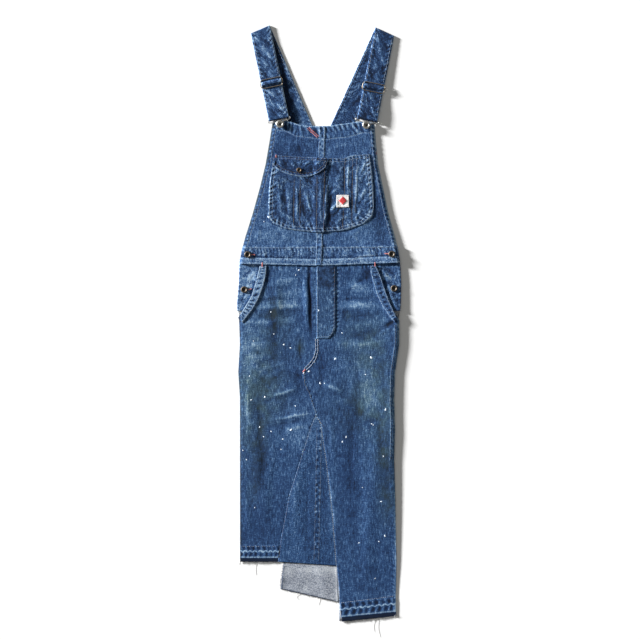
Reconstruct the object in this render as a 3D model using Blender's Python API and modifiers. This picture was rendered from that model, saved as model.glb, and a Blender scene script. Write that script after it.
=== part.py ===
# Denim pinafore dress, laid flat with its front up.
#
# Metres, +Z up. The garment lies on z = 0, with +Y towards the straps and +X to the viewer's right.
# Left and right are as the viewer sees the front. Lengths in the tables below are millimetres.
# Back panels lie on the ground plane, the straps cross onto the back bib, and the front panels lie
# over both. Whatever is sewn on the front is made from the front's own height, moved up.

import math

import bmesh
import bpy
from mathutils import Vector

MM = 0.001

# Cloth and hardware thicknesses.
WALL = 1.2
DOUBLE_WALL = 1.8
STRAP_THICKNESS = 2.0
LABEL_THICKNESS = 1.0
SEAM_GAP = 0.3
STACK_GAP = 0.35

# Heights above the ground: of the straps' mid-surface, and of the front's edge and underside.
STRAP_GROUND_LEVEL = 1.0
STRAP_OVER_BACK_BIB = 2.5
STRAP_RETURN_LEVEL = 3.3
STRAP_FRONT_LEVEL = 5.65
SIDE_SEAM_HEIGHT = 1.5
BIB_EDGE_HEIGHT = 0.6
SIDE_SEAM_TOP = 190
BIB_EDGE_FADE = 60
ROLL_WIDTH = 8.0
ROLL_FIRST_COLUMN = 3.0
ROLL_CLEARANCE = 0.35
BACK_INSET = 1.5
BIB_LEVEL = 4.1

# Height of the front cloth's underside: y, height.
FRONT_LEVELS = (
    (500, BIB_LEVEL),
    (150, BIB_LEVEL),
    (60, 3.7),
    (-300, 2.9),
    (-560, 1.6),
    (-730, 1.6),
)

# Outline of the laid garment below the bib's top: y, left x, right x.
OUTLINE = (
    (500, -108, 131),
    (484, -110, 133),
    (440, -117, 136),
    (382, -127, 142),
    (325, -141, 154),
    (267, -157, 166),
    (210, -175, 182),
    (181, -183, 189),
    (140, -191, 196),
    (97, -192, 198),
    (51, -196, 197),
    (25, -196, 195),
    (8, -191, 193),
    (-50, -189, 193),
    (-83, -191, 188),
    (-117, -193, 183),
    (-179, -189, 181),
    (-256, -189, 183),
    (-328, -189, 181),
    (-424, -189, 184),
    (-532, -189, 186),
    (-570, -189, 187),
    (-664, -189, 185),
    (-730, -189, 187),
)

# Long soft folds in the front: start x, y, end x, y, half width, height.
FOLDS = (
    (-106, 120, -104, -20, 15, 1.2),
    (-30, 135, -24, -30, 12, 0.9),
    (70, 60, 160, 10, 15, 0.8),
    (-125, -178, -44, -152, 14, 0.9),
    (-120, -232, -16, -212, 14, 0.8),
    (10, -145, 66, -166, 14, 0.8),
    (-150, -290, -128, -500, 17, 1.1),
    (140, -240, 112, -660, 18, 1.2),
    (84, -110, 100, -200, 15, 0.8),
    (-158, -60, -150, -170, 15, 0.8),
)

# Bib: its top edge, x and y, and the seam down its middle, y and x.
BIB_TOP = (
    (-112, 482),
    (-96, 486),
    (-81, 487),
    (-68, 484),
    (-48, 477),
    (-34, 474),
    (1, 473),
    (28, 474),
    (52, 478),
    (77, 481),
    (93, 484),
    (135, 481),
)
BIB_TOP_LEVEL = 480
BIB_SEAM = (
    (500, 8.5),
    (186, 1),
    (140, -1),
)
BIB_ROWS = 15
BIB_COLUMNS = 10
STRIP_WIDTH = 14.6
STRIP_COLUMNS = 2
# Rows of the bib's strip, close together where it climbs onto the waistband.
STRIP_ROWS = (471.5, *range(452, 223, -19), 208, 192, 190.5, 189, 187.5, 186, 163, 140)
STRIP_RISE = (192, 186)
LIFT_NEAR = 10.5
LIFT_FAR = 18.5

# Skirt rows from the waist down, shared by every panel that meets at a seam.
WAIST_JOIN = 162
SKIRT_ROWS = (
    162, 140, 118, 96, 81, 67, 53, 40, 29, 15, -4, -22, -40, -53, -65, -83, -98, -111, -126,
    -146, -165, -191, -220, -236, -261, -277, -294, -314, -335, -353, -371, -392, -414, -434,
    -453, -474, -494, -514, -534, -552, -571,
)
RIGHT_HEM_ROWS = (-585, -605, -626, -645, -664, -680, -693)
LEFT_HEM = (-572.5, -572.5)
RIGHT_HEM = (-716, -699)
SKIRT_COLUMNS = 11

# Seams of the skirt: y, x.
CENTRE_SEAM = (
    (162, -1),
    (140, -7),
    (-65, -7),
    (-83, -13),
    (-98, -24),
    (-111, -36),
    (-126, -36),
    (-146, -33),
    (-165, -24),
    (-191, -16),
    (-220, -7),
)
GUSSET_LEFT_SEAM = (
    (-220, -7),
    (-236, -15),
    (-261, -24),
    (-294, -34),
    (-335, -47),
    (-371, -58),
    (-414, -72),
    (-453, -79),
    (-494, -87),
    (-534, -94),
    (-573, -98),
)
GUSSET_RIGHT_SEAM = (
    (-220, -7),
    (-236, 5),
    (-261, 9),
    (-335, 20),
    (-414, 29),
    (-453, 34),
    (-494, 37),
    (-534, 40),
    (-585, 44),
    (-626, 48),
    (-664, 50),
    (-693, 53),
    (-720, 56),
)
GUSSET_CENTRE_SEAM = (
    (-220, -7),
    (-236, 1),
    (-261, 1),
    (-573, -6),
)
GUSSET_TOP = -220
GUSSET_RIGHT_TOP = -236
GUSSET_POINT_GAP = 4
GUSSET_LAST_ROW = -552
GUSSET_HEM_LEFT = (-573, -579)
GUSSET_HEM_RIGHT = (-579, -583)
GUSSET_COLUMNS = 3
GUSSET_STRIP_SPAN = (-250, -571)
GUSSET_STRIP_ROWS = 14

# Slanted pocket mouths, y and x, and the inner edge of the band along each.
LEFT_MOUTH = (
    (162, -136),
    (140, -141),
    (96, -152),
    (67, -161),
    (40, -177),
    (25, -186),
    (15, -192),
)
RIGHT_MOUTH = (
    (162, 130),
    (142, 136),
    (107, 151),
    (81, 159),
    (53, 169),
    (29, 180),
    (8, 192.5),
)
MOUTH_END = (15, 8)
FACING_ROWS = (150, 138, 118, 96, 81, 67, 53, 40, 30)
FACING_LAP = 13.0
FACING_LEVEL = 1.55
FACING_COLUMNS = 3
BAND_COLUMNS = 2
BAND_STEPS = 2

# Pocket bands: mouth x, y, inner edge x, y.
LEFT_BAND = (
    (-141.5, 138, -125, 138),
    (-145, 124, -127, 115),
    (-152, 96, -133, 90),
    (-161, 67, -144, 60),
    (-172, 48, -157, 36),
    (-183, 30, -173, 15),
    (-188, 21, -184, 1),
)
RIGHT_BAND = (
    (137, 138, 123.5, 138),
    (143, 126, 125, 118),
    (151, 107, 133, 90),
    (159, 81, 141, 64),
    (169, 53, 154, 39),
    (180, 29, 168, 18),
    (187, 14, 181, 3),
)

# Waistband: the y of its upper and lower edge at the left, middle and right.
WAISTBAND_TOP = (
    (-192, 184),
    (0, 184),
    (196, 186),
)
WAISTBAND_BOTTOM = (
    (-192, 143),
    (0, 138.5),
    (196, 146),
)

WAISTBAND_COLUMNS = 24
WAISTBAND_ROWS = 3

# Bib pocket from left to right: top x, y, bottom x, y.
POCKET_SECTIONS = (
    (-109.5, 387, -122, 250),
    (-105, 387, -117, 241),
    (-94, 387, -102, 233),
    (-80, 387, -84, 228),
    (-63, 387, -63, 225),
    (-48, 387, -46, 222.5),
    (-30, 387, -31, 221),
    (-15, 387, -19, 219.5),
    (-3.5, 387, -8.5, 218.5),
    (16, 387, 12, 218.5),
    (22.5, 387, 18, 219),
    (25, 396, 25, 219.5),
    (44, 395, 41, 221.5),
    (61, 394.5, 58, 223),
    (68.5, 401, 72, 226),
    (82, 404, 86, 231),
    (92, 404.5, 98, 235.5),
    (103, 405.5, 111, 242),
    (113, 406, 122, 248.5),
    (121, 406.5, 131, 258),
)
POCKET_ROWS = 10
POCKET_SIDE_BOW = 4.0

# Flap over the pocket's left half, from left to right: top x, y, bottom x, y.
FLAP_SECTIONS = (
    (-106, 404, -111, 384),
    (-101, 403.5, -104, 372),
    (-90, 403, -91, 364.5),
    (-74, 402, -72, 357.5),
    (-57, 401, -55, 353.5),
    (-42, 400, -41, 351.5),
    (-28, 399.3, -26, 352.5),
    (-15, 398.5, -15.7, 354.5),
    (-3.5, 398, -4.5, 359.5),
    (10, 397.5, 7, 366),
    (17, 397, 15, 373),
    (22, 396.7, 22, 389),
)
FLAP_ROWS = 4
FLAP_RISE_START = 398
FLAP_RISE_LENGTH = 5.0

# Fly flap: top left and bottom right, with its lower right corner cut off.
FLY_LEFT = -5.5
FLY_RIGHT = 40.0
FLY_TOP = 137.0
FLY_BOTTOM = -36.0
FLY_CORNER = 32.0
FLY_CORNER_REACH = 0.5
FLY_CORNER_CURVE = 2.2
FLY_COLUMNS = 3
FLY_ROWS = 16

# Woven label: centre and side.
LABEL_CENTRE = (57.5, 293)
LABEL_SIDE = 29.5
LABEL_GRID = 2

# Back: the bib behind the front bib and the gusset, y, left x, right x. The rest of the back
# follows the outline, inset a little.
BACK_BIB = (
    (410, -26, 38),
    (360, -50, 62),
    (300, -82, 92),
    (235, -122, 132),
    (166, -168, 174),
)
BACK_ROWS = (
    162, 140, 97, 51, 25, 8, -50, -83, -117, -179, -219, -221, -256, -335, -424, -453, -532,
)
RIGHT_BACK_HEM_ROWS = (-574, -606, -640, -670)
BACK_HEM_INSET = 1.5
BACK_SEAM_X = -1
BACK_COLUMNS = 2
BACK_GUSSET_COLUMNS = 3
BACK_GUSSET = (
    (-221, -4, 2),
    (-335, -46, 19),
    (-453, -80, 33),
    (-574, -84, 44),
    (-606, -88, 46),
    (-638, -91, 48),
)
BACK_GUSSET_HEM = (-638, -670)

# Straps: by side, the shoulder fold, the bib button that the buckle hooks on, and the distance
# from the fold to the slide's middle bar.
STRAP_WIDTH = 49.2
STRAP_MEETING = (5.4, 366)
STRAP_SIDES = (
    ("left", (-140, 704.5), (-93, 478), 129.5),
    ("right", (158, 699), (114, 475.5), 135.5),
)
STRAP_COLUMNS = 4
STRAP_TURN_STEPS = 6
STRAP_LIFT_FROM_MEETING = (64, 86)
STRAP_TWIST_LENGTH = 26.0
STRAP_BACK_SHARES = (0.5, 0.78)
STRAP_FOLD_OPENING = 0.15
STRAP_BEFORE_SLIDE = 14.0
STRAP_FRONT_DISTANCES = (9, 18, STRAP_TWIST_LENGTH, 60)
STRAP_TO_BUCKLE_SHARES = (0.25, 0.6, 0.85)
STRAP_RETURN_SHARES = (0.2, 0.6)

# Slide: a wire frame with a middle bar that the strap climbs over.
SLIDE_WIRE = 0.9
SLIDE_HALF_WIDTH = 27.0
SLIDE_HALF_LENGTH = 10.3
SLIDE_CORNER = 7.0
SLIDE_CORNER_STEPS = 4
MIDDLE_BAR_SHARE = 0.92
HALF_STRAP = STRAP_THICKNESS / 2
SLIDE_LEVEL = STRAP_FRONT_LEVEL + HALF_STRAP + SLIDE_WIRE + STACK_GAP
BAR_CLEARANCE = 0.4
BULGE_LEVEL = SLIDE_LEVEL + SLIDE_WIRE + HALF_STRAP + BAR_CLEARANCE
BULGE_FLAT = 1.6
BULGE_FOOT = 7.0
BULGE_OFFSETS = (-10.3, -7, -5.6, -4.3, -3, -1.6, 0, 1.6, 3, 4.3, 5.6, 7, 10.3)
RETURN_END_LEVEL = SLIDE_LEVEL - SLIDE_WIRE - HALF_STRAP - BAR_CLEARANCE

# The strap's end near the slide: offset from the middle bar, and its share of the last rise.
RETURN_END = (
    (8, 0),
    (5.5, 0.12),
    (4, 0.4),
    (2.6, 0.75),
    (1.2, 1),
    (-1.2, 1),
)

# Buckle: a wire bar with ends that run in to an eye around the button's post. The side's points
# are the distance from the middle and the drop below the bar.
BUCKLE_WIRE = 1.1
BUCKLE_BAR_TO_BUTTON = 14.0
BAR_LOOP_RADIUS = BUCKLE_WIRE + STACK_GAP + HALF_STRAP
BUCKLE_BAR_LEVEL = STRAP_RETURN_LEVEL + BAR_LOOP_RADIUS
BUCKLE_EYE_LEVEL = BIB_LEVEL + WALL + STACK_GAP + BUCKLE_WIRE + 0.1
BUCKLE_RISE = (0.5, 6.0)
BUCKLE_EYE_RADIUS = 4.3
BUCKLE_EYE_STEPS = 8
BUCKLE_BAR_INNER = 10
BUCKLE_SIDE = (
    (22.0, 0.0),
    (25.0, 0.1),
    (26.8, 1.3),
    (27.4, 3.3),
    (26.4, 5.2),
    (23.5, 6.5),
    (14.0, 8.0),
    (7.5, 9.2),
)

# Buttons: profiles as radius and height above the cloth, from the top down the outer side.
RING_BUTTON = (
    (0.0, 3.9),
    (4.3, 3.9),
    (4.7, 5.3),
    (6.4, 6.0),
    (8.3, 5.5),
    (9.2, 4.2),
    (8.6, 3.0),
    (2.5, 2.75),
    (2.5, 0.0),
    (0.0, 0.0),
)
TACK_BUTTON = (
    (0.0, 2.7),
    (3.2, 2.8),
    (4.0, 3.5),
    (6.6, 3.3),
    (8.3, 2.3),
    (7.9, 1.3),
    (3.0, 1.0),
    (3.0, 0.0),
    (0.0, 0.0),
)
FLAP_BUTTON_SCALE = 0.74
BUTTON_STEPS = 14
SIDE_BUTTONS = (
    ("side_button_left_upper", -170.5, 165, "band"),
    ("side_button_left_lower", -179, 81, "facing"),
    ("side_button_right_upper", 175, 166, "band"),
    ("side_button_right_lower", 181, 84, "facing"),
)
FLAP_BUTTON = (-47, 367.5)

DENIM = (0.085, 0.16, 0.30)
DENIM_DARK = (0.05, 0.09, 0.19)
DENIM_REVERSE = (0.44, 0.46, 0.50)
LABEL_WHITE = (0.85, 0.83, 0.82)
ANTIQUE_METAL = (0.45, 0.40, 0.34)
BRASS = (0.50, 0.38, 0.20)
NICKEL = (0.72, 0.72, 0.70)


def blend(low, high, amount):
    return low + (high - low) * amount


def clamp(value):
    return max(0.0, min(1.0, value))


def smooth_step(amount):
    amount = clamp(amount)
    return amount * amount * (3 - 2 * amount)


def read_table(table, key, column=1):
    # Straight-line reading of a table whose first column runs either way.
    rows = table if table[0][0] < table[-1][0] else tuple(reversed(table))
    if key <= rows[0][0]:
        return rows[0][column]
    for lower, upper in zip(rows, rows[1:]):
        if key <= upper[0]:
            amount = (key - lower[0]) / (upper[0] - lower[0])
            return blend(lower[column], upper[column], amount)
    return rows[-1][column]


def read_sections(sections, amount):
    # A row between the rows of a section table, for an amount from 0 to 1.
    place = clamp(amount) * (len(sections) - 1)
    index = min(int(place), len(sections) - 2)
    first = sections[index]
    second = sections[index + 1]
    return [blend(a, b, place - index) for a, b in zip(first, second)]


def outline_left(y):
    return read_table(OUTLINE, y, 1)


def outline_right(y):
    return read_table(OUTLINE, y, 2)


def fold_height(x, y):
    height = 0.0
    for x0, y0, x1, y1, half_width, rise in FOLDS:
        along = Vector((x1 - x0, y1 - y0))
        offset = Vector((x - x0, y - y0))
        place = offset.dot(along) / along.length_squared
        across = abs(along.cross(offset)) / along.length
        fade = smooth_step(1.35 - 2.7 * abs(place - 0.5))
        height += rise * fade * math.exp(-((across / half_width) ** 2))
    return height


def edge_roll(x, y):
    # 0 at the outline, 1 where the front lies level, and the height of its edge.
    distance = min(x - outline_left(y), outline_right(y) - x)
    roll = math.sin(math.pi / 2 * clamp(distance / ROLL_WIDTH))
    above_waist = clamp((y - SIDE_SEAM_TOP) / BIB_EDGE_FADE)
    edge_height = blend(SIDE_SEAM_HEIGHT, BIB_EDGE_HEIGHT, above_waist)
    return roll, edge_height


def front_under(x, y):
    roll, edge_height = edge_roll(x, y)
    level = read_table(FRONT_LEVELS, y) + fold_height(x, y)
    return blend(edge_height, level, roll)


def front_top(x, y):
    return front_under(x, y) + WALL


def strip_rise(x, y):
    # What lies over the strip down the bib's middle is lifted by the strip's thickness.
    distance = abs(x - read_table(BIB_SEAM, y))
    return (WALL + STACK_GAP) * clamp((LIFT_FAR - distance) / (LIFT_FAR - LIFT_NEAR))


def pocket_under(x, y):
    return front_top(x, y) + STACK_GAP + strip_rise(x, y)


def flap_under(x, y):
    over_pocket = clamp((FLAP_RISE_START - y) / FLAP_RISE_LENGTH)
    return pocket_under(x, y) + (WALL + STACK_GAP) * over_pocket


def overlay_under(x, y):
    # A piece on the front keeps a little more room near the rolled edge.
    roll, edge_height = edge_roll(x, y)
    return front_top(x, y) + STACK_GAP + ROLL_CLEARANCE * (1 - roll)


def make_material(name, colour, roughness, metallic):
    material = bpy.data.materials.new(name)
    material.use_nodes = True
    shader = material.node_tree.nodes["Principled BSDF"]
    shader.inputs["Base Color"].default_value = (*colour, 1.0)
    shader.inputs["Roughness"].default_value = roughness
    shader.inputs["Metallic"].default_value = metallic
    return material


def place_object(name, mesh, colour, roughness=0.9, metallic=0.0):
    thing = bpy.data.objects.new(name, mesh)
    bpy.data.collections["denim_pinafore_dress"].objects.link(thing)
    mesh.materials.append(make_material(name + "_surface", colour, roughness, metallic))
    return thing


def add_wall(thing, thickness, offset):
    wall = thing.modifiers.new("wall", "SOLIDIFY")
    wall.thickness = thickness * MM
    wall.offset = offset
    wall.use_even_offset = True


def cloth(name, columns, rows, place, colour=DENIM, thickness=WALL, offset=1):
    # A grid of cloth: place(s, t) gives x, y, z in millimetres for s and t from 0 to 1.
    shape = bmesh.new()
    bmesh.ops.create_grid(shape, x_segments=columns, y_segments=rows, size=0.5)
    for vertex in shape.verts:
        x, y, z = place(vertex.co.x + 0.5, 0.5 - vertex.co.y)
        vertex.co = Vector((x, y, z)) * MM
    mesh = bpy.data.meshes.new(name)
    shape.to_mesh(mesh)
    shape.free()
    mesh.shade_smooth()
    thing = place_object(name, mesh, colour)
    add_wall(thing, thickness, offset)
    return thing


def column_places(count, width, roll_left, roll_right):
    # Column distances from the left edge, close together where the cloth rolls over an edge.
    left = [0.0, ROLL_FIRST_COLUMN] if roll_left else []
    right = [width - ROLL_FIRST_COLUMN, width] if roll_right else []
    start = ROLL_WIDTH if roll_left else 0.0
    end = width - ROLL_WIDTH if roll_right else width
    middle_count = count - len(left) - len(right)
    middle = [blend(start, end, step / middle_count) for step in range(middle_count + 1)]
    return left + middle + right


def row_panel(name, rows, columns, left_edge, right_edge, under, rolls=(False, False),
              colour=DENIM):
    # A panel between two edges, with rows given as the y at its left and at its right.
    def place(s, t):
        y_left, y_right = rows[round(t * (len(rows) - 1))]
        left = left_edge(y_left)
        right = right_edge(y_right)
        distances = column_places(columns, right - left, *rolls)
        across = distances[round(s * columns)] / (right - left)
        x = blend(left, right, across)
        y = blend(y_left, y_right, across)
        return x, y, under(x, y)

    return cloth(name, columns, len(rows) - 1, place, colour)


def section_panel(name, sections, rows, under, bow=0.0):
    # A panel whose columns are the rows of a section table, from its top edge to its bottom one.
    # Its sides may bow outwards.
    def place(s, t):
        x_top, y_top, x_bottom, y_bottom = read_sections(sections, s)
        x = blend(x_top, x_bottom, t) + bow * (2 * s - 1) * math.sin(math.pi * t)
        y = blend(y_top, y_bottom, t)
        return x, y, under(x, y)

    return cloth(name, len(sections) - 1, rows, place)


def level_rows(values):
    return [(y, y) for y in values]


def make_bib():
    def bib_place(side):
        def place(s, t):
            y = blend(BIB_TOP_LEVEL, WAIST_JOIN + SEAM_GAP, t)
            seam = read_table(BIB_SEAM, y)
            if side == "left":
                left = outline_left(y)
                right = seam - SEAM_GAP / 2
            else:
                left = seam + SEAM_GAP / 2
                right = outline_right(y)
            rolls = (side == "left", side == "right")
            distances = column_places(BIB_COLUMNS, right - left, *rolls)
            x = left + distances[round(s * BIB_COLUMNS)]
            lift = (read_table(BIB_TOP, x) - BIB_TOP_LEVEL) * (1 - t) ** 3
            return x, y + lift, front_under(x, y)
        return place

    cloth("bib_front_left", BIB_COLUMNS, BIB_ROWS, bib_place("left"))
    cloth("bib_front_right", BIB_COLUMNS, BIB_ROWS, bib_place("right"))

    def strip_place(s, t):
        y = STRIP_ROWS[round(t * (len(STRIP_ROWS) - 1))]
        x = read_table(BIB_SEAM, y) + STRIP_WIDTH * (s - 0.5)
        climb = smooth_step((STRIP_RISE[0] - y) / (STRIP_RISE[0] - STRIP_RISE[1]))
        rise = (DOUBLE_WALL + STACK_GAP) * climb
        return x, y, front_top(x, y) + STACK_GAP + rise

    cloth("bib_centre_strip", STRIP_COLUMNS, len(STRIP_ROWS) - 1, strip_place)


def make_bib_pocket():
    section_panel("bib_pocket", POCKET_SECTIONS, POCKET_ROWS, pocket_under, POCKET_SIDE_BOW)
    section_panel("pocket_flap", FLAP_SECTIONS, FLAP_ROWS, flap_under)

    def label_place(s, t):
        x = LABEL_CENTRE[0] + LABEL_SIDE * (s - 0.5)
        y = LABEL_CENTRE[1] - LABEL_SIDE * (t - 0.5)
        return x, y, pocket_under(x, y) + WALL + STACK_GAP

    cloth("woven_label", LABEL_GRID, LABEL_GRID, label_place, LABEL_WHITE, LABEL_THICKNESS)


def make_waistband():
    def place(s, t):
        x = blend(outline_left(WAIST_JOIN), outline_right(WAIST_JOIN), s)
        y = blend(read_table(WAISTBAND_TOP, x), read_table(WAISTBAND_BOTTOM, x), t)
        left = outline_left(y)
        width = outline_right(y) - left
        distances = column_places(WAISTBAND_COLUMNS, width, True, True)
        x = left + distances[round(s * WAISTBAND_COLUMNS)]
        return x, y, overlay_under(x, y)

    cloth("waistband_front", WAISTBAND_COLUMNS, WAISTBAND_ROWS, place, DENIM, DOUBLE_WALL)


def left_front_edge(y):
    return read_table(LEFT_MOUTH, y) if y > MOUTH_END[0] else outline_left(y)


def right_front_edge(y):
    return read_table(RIGHT_MOUTH, y) if y > MOUTH_END[1] else outline_right(y)


def seam_before(table):
    return lambda y: read_table(table, y) - SEAM_GAP / 2


def seam_after(table):
    return lambda y: read_table(table, y) + SEAM_GAP / 2


def join_seams(upper, lower, change):
    return lambda y: upper(y) if y >= change else lower(y)


def make_skirt_front():
    left_rows = level_rows(SKIRT_ROWS) + [LEFT_HEM]
    left_inner = join_seams(seam_before(CENTRE_SEAM), seam_before(GUSSET_LEFT_SEAM), GUSSET_TOP)
    row_panel("skirt_front_left", left_rows, SKIRT_COLUMNS, left_front_edge, left_inner,
              front_under, (True, False))

    right_rows = level_rows(SKIRT_ROWS) + level_rows(RIGHT_HEM_ROWS) + [RIGHT_HEM]
    right_inner = join_seams(seam_after(CENTRE_SEAM), seam_after(GUSSET_RIGHT_SEAM), GUSSET_TOP)
    row_panel("skirt_front_right", right_rows, SKIRT_COLUMNS, right_inner, right_front_edge,
              front_under, (False, True))


def make_front_gusset():
    left_top = GUSSET_TOP - GUSSET_POINT_GAP
    right_top = GUSSET_RIGHT_TOP - GUSSET_POINT_GAP
    left_rows = level_rows([left_top] + [y for y in SKIRT_ROWS if left_top > y >= GUSSET_LAST_ROW])
    left_rows.append(GUSSET_HEM_LEFT)
    right_rows = level_rows([right_top] + [y for y in SKIRT_ROWS if right_top > y >= GUSSET_LAST_ROW])
    right_rows.append(GUSSET_HEM_RIGHT)

    def left_inner(y):
        side = GUSSET_RIGHT_SEAM if y > GUSSET_RIGHT_TOP else GUSSET_CENTRE_SEAM
        return read_table(side, y) - SEAM_GAP / 2

    row_panel("gusset_front_left", left_rows, GUSSET_COLUMNS, seam_after(GUSSET_LEFT_SEAM),
              left_inner, front_under)
    row_panel("gusset_front_right", right_rows, GUSSET_COLUMNS, seam_after(GUSSET_CENTRE_SEAM),
              seam_before(GUSSET_RIGHT_SEAM), front_under)

    def strip_place(s, t):
        y = blend(*GUSSET_STRIP_SPAN, t)
        x = read_table(GUSSET_CENTRE_SEAM, y) + STRIP_WIDTH * (s - 0.5)
        return x, y, front_top(x, y) + STACK_GAP

    cloth("gusset_centre_strip", STRIP_COLUMNS, GUSSET_STRIP_ROWS, strip_place)


def make_pocket_facing(name, left_edge, right_edge):
    row_panel(name, level_rows(FACING_ROWS), FACING_COLUMNS, left_edge, right_edge,
              lambda x, y: FACING_LEVEL)


def make_pocket_band(name, band, mouth_on_left):
    def place(s, t):
        mouth_x, mouth_y, inner_x, inner_y = read_sections(band, t)
        across = s if mouth_on_left else 1 - s
        x = blend(mouth_x, inner_x, across)
        y = blend(mouth_y, inner_y, across)
        return x, y, overlay_under(x, y)

    cloth(name, BAND_COLUMNS, (len(band) - 1) * BAND_STEPS, place)


def make_side_pockets():
    make_pocket_facing("pocket_facing_left", outline_left,
                       lambda y: read_table(LEFT_MOUTH, y) + FACING_LAP)
    make_pocket_facing("pocket_facing_right",
                       lambda y: read_table(RIGHT_MOUTH, y) - FACING_LAP, outline_right)
    make_pocket_band("pocket_band_left", LEFT_BAND, True)
    make_pocket_band("pocket_band_right", RIGHT_BAND, False)


def make_fly():
    def place(s, t):
        y = blend(FLY_TOP, FLY_BOTTOM, t)
        low = clamp((FLY_BOTTOM + FLY_CORNER - y) / FLY_CORNER)
        cut = FLY_CORNER_REACH * FLY_CORNER * low ** FLY_CORNER_CURVE
        x = blend(FLY_LEFT, FLY_RIGHT - cut, s)
        return x, y, front_top(x, y) + STACK_GAP

    cloth("fly_flap", FLY_COLUMNS, FLY_ROWS, place, DENIM, DOUBLE_WALL)


def make_back():
    gusset_top = BACK_GUSSET[0][0]

    def ground(x, y):
        return 0.0

    def left_edge(y):
        return outline_left(y) + BACK_INSET

    def right_edge(y):
        return outline_right(y) - BACK_INSET

    def left_inner(y):
        if y > gusset_top:
            return BACK_SEAM_X - SEAM_GAP / 2
        return read_table(BACK_GUSSET, y, 1) - SEAM_GAP

    def right_inner(y):
        if y > gusset_top:
            return BACK_SEAM_X + SEAM_GAP / 2
        return read_table(BACK_GUSSET, y, 2) + SEAM_GAP

    left_hem = tuple(y + BACK_HEM_INSET for y in LEFT_HEM)
    right_hem = tuple(y + BACK_HEM_INSET for y in RIGHT_HEM)
    left_rows = level_rows(BACK_ROWS) + [left_hem]
    right_rows = level_rows(BACK_ROWS + RIGHT_BACK_HEM_ROWS) + [right_hem]
    row_panel("skirt_back_left", left_rows, BACK_COLUMNS, left_edge, left_inner, ground,
              colour=DENIM_DARK)
    row_panel("skirt_back_right", right_rows, BACK_COLUMNS, right_inner, right_edge, ground,
              colour=DENIM_DARK)

    gusset_rows = level_rows([row[0] for row in BACK_GUSSET[:-1]]) + [BACK_GUSSET_HEM]
    row_panel("gusset_back", gusset_rows, BACK_GUSSET_COLUMNS,
              lambda y: read_table(BACK_GUSSET, y, 1), lambda y: read_table(BACK_GUSSET, y, 2),
              ground, colour=DENIM_REVERSE)
    row_panel("bib_back", level_rows([row[0] for row in BACK_BIB]), BACK_COLUMNS,
              lambda y: read_table(BACK_BIB, y, 1), lambda y: read_table(BACK_BIB, y, 2),
              ground, colour=DENIM_DARK)


def across_of(direction):
    across = Vector((-direction.y, direction.x))
    return across if across.x > 0 else -across


def back_stations(fold):
    # The strap's back stretch, from its mitred end at the meeting up to the fold.
    # A station is centre, height, and the vector from the centre to the strap's right edge.
    lean = 1 if fold.x < 0 else -1
    meeting = Vector(STRAP_MEETING)
    meeting.x -= lean * SEAM_GAP / 2
    down = (meeting - fold).normalized()
    across = across_of(down) * STRAP_WIDTH / 2
    reach = across.x / abs(down.x)
    mitre = Vector((0, lean * (reach * abs(down.y) + abs(across.y))))
    stations = [(meeting, STRAP_OVER_BACK_BIB, mitre)]
    near, far = STRAP_LIFT_FROM_MEETING
    stations.append((meeting - down * near, STRAP_OVER_BACK_BIB, across))
    stations.append((meeting - down * far, STRAP_GROUND_LEVEL, across))
    length = (meeting - fold).length
    for share in STRAP_BACK_SHARES:
        stations.append((meeting - down * length * share, STRAP_GROUND_LEVEL, across))
    return stations, down, across


def bulge_height(distance):
    # Mid-height of the strap near the slide, by distance along it from the middle bar.
    rise = smooth_step((BULGE_FOOT - abs(distance)) / (BULGE_FOOT - BULGE_FLAT))
    return blend(STRAP_FRONT_LEVEL, BULGE_LEVEL, rise)


def strap_stations(fold, button, slide_distance):
    stations, back_down, back_across = back_stations(fold)
    down = (button - fold).normalized()
    across = across_of(down) * STRAP_WIDTH / 2

    radius = (STRAP_RETURN_LEVEL - STRAP_GROUND_LEVEL) / 2 + STRAP_FOLD_OPENING
    turn_level = STRAP_GROUND_LEVEL + radius
    for step in range(STRAP_TURN_STEPS + 1):
        angle = math.pi * step / STRAP_TURN_STEPS
        centre = fold - back_down * radius * math.sin(angle)
        stations.append((centre, turn_level - radius * math.cos(angle), back_across))

    after_fold = turn_level + radius
    before_slide = slide_distance - STRAP_BEFORE_SLIDE
    for distance in STRAP_FRONT_DISTANCES + (before_slide,):
        twist = clamp(distance / STRAP_TWIST_LENGTH)
        turned = back_across.lerp(across, twist).normalized() * STRAP_WIDTH / 2
        level = blend(after_fold, STRAP_FRONT_LEVEL, clamp(distance / before_slide))
        stations.append((fold + down * distance, level, turned))

    for offset in BULGE_OFFSETS:
        centre = fold + down * (slide_distance + offset)
        stations.append((centre, bulge_height(offset), across))

    bar_distance = (button - fold).length - BUCKLE_BAR_TO_BUTTON
    upper_level = BUCKLE_BAR_LEVEL + BAR_LOOP_RADIUS
    for share in STRAP_TO_BUCKLE_SHARES:
        distance = blend(slide_distance + BULGE_OFFSETS[-1], bar_distance, share)
        rise = smooth_step(share / STRAP_TO_BUCKLE_SHARES[-1])
        level = blend(STRAP_FRONT_LEVEL, upper_level, rise)
        stations.append((fold + down * distance, level, across))
    for step in range(STRAP_TURN_STEPS + 1):
        angle = math.pi * step / STRAP_TURN_STEPS
        centre = fold + down * (bar_distance + BAR_LOOP_RADIUS * math.sin(angle))
        stations.append((centre, BUCKLE_BAR_LEVEL + BAR_LOOP_RADIUS * math.cos(angle), across))

    for share in STRAP_RETURN_SHARES:
        distance = blend(bar_distance, slide_distance + RETURN_END[0][0], share)
        stations.append((fold + down * distance, STRAP_RETURN_LEVEL, across))
    for offset, rise in RETURN_END:
        level = blend(STRAP_RETURN_LEVEL, RETURN_END_LEVEL, rise)
        stations.append((fold + down * (slide_distance + offset), level, across))
    return stations


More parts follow.
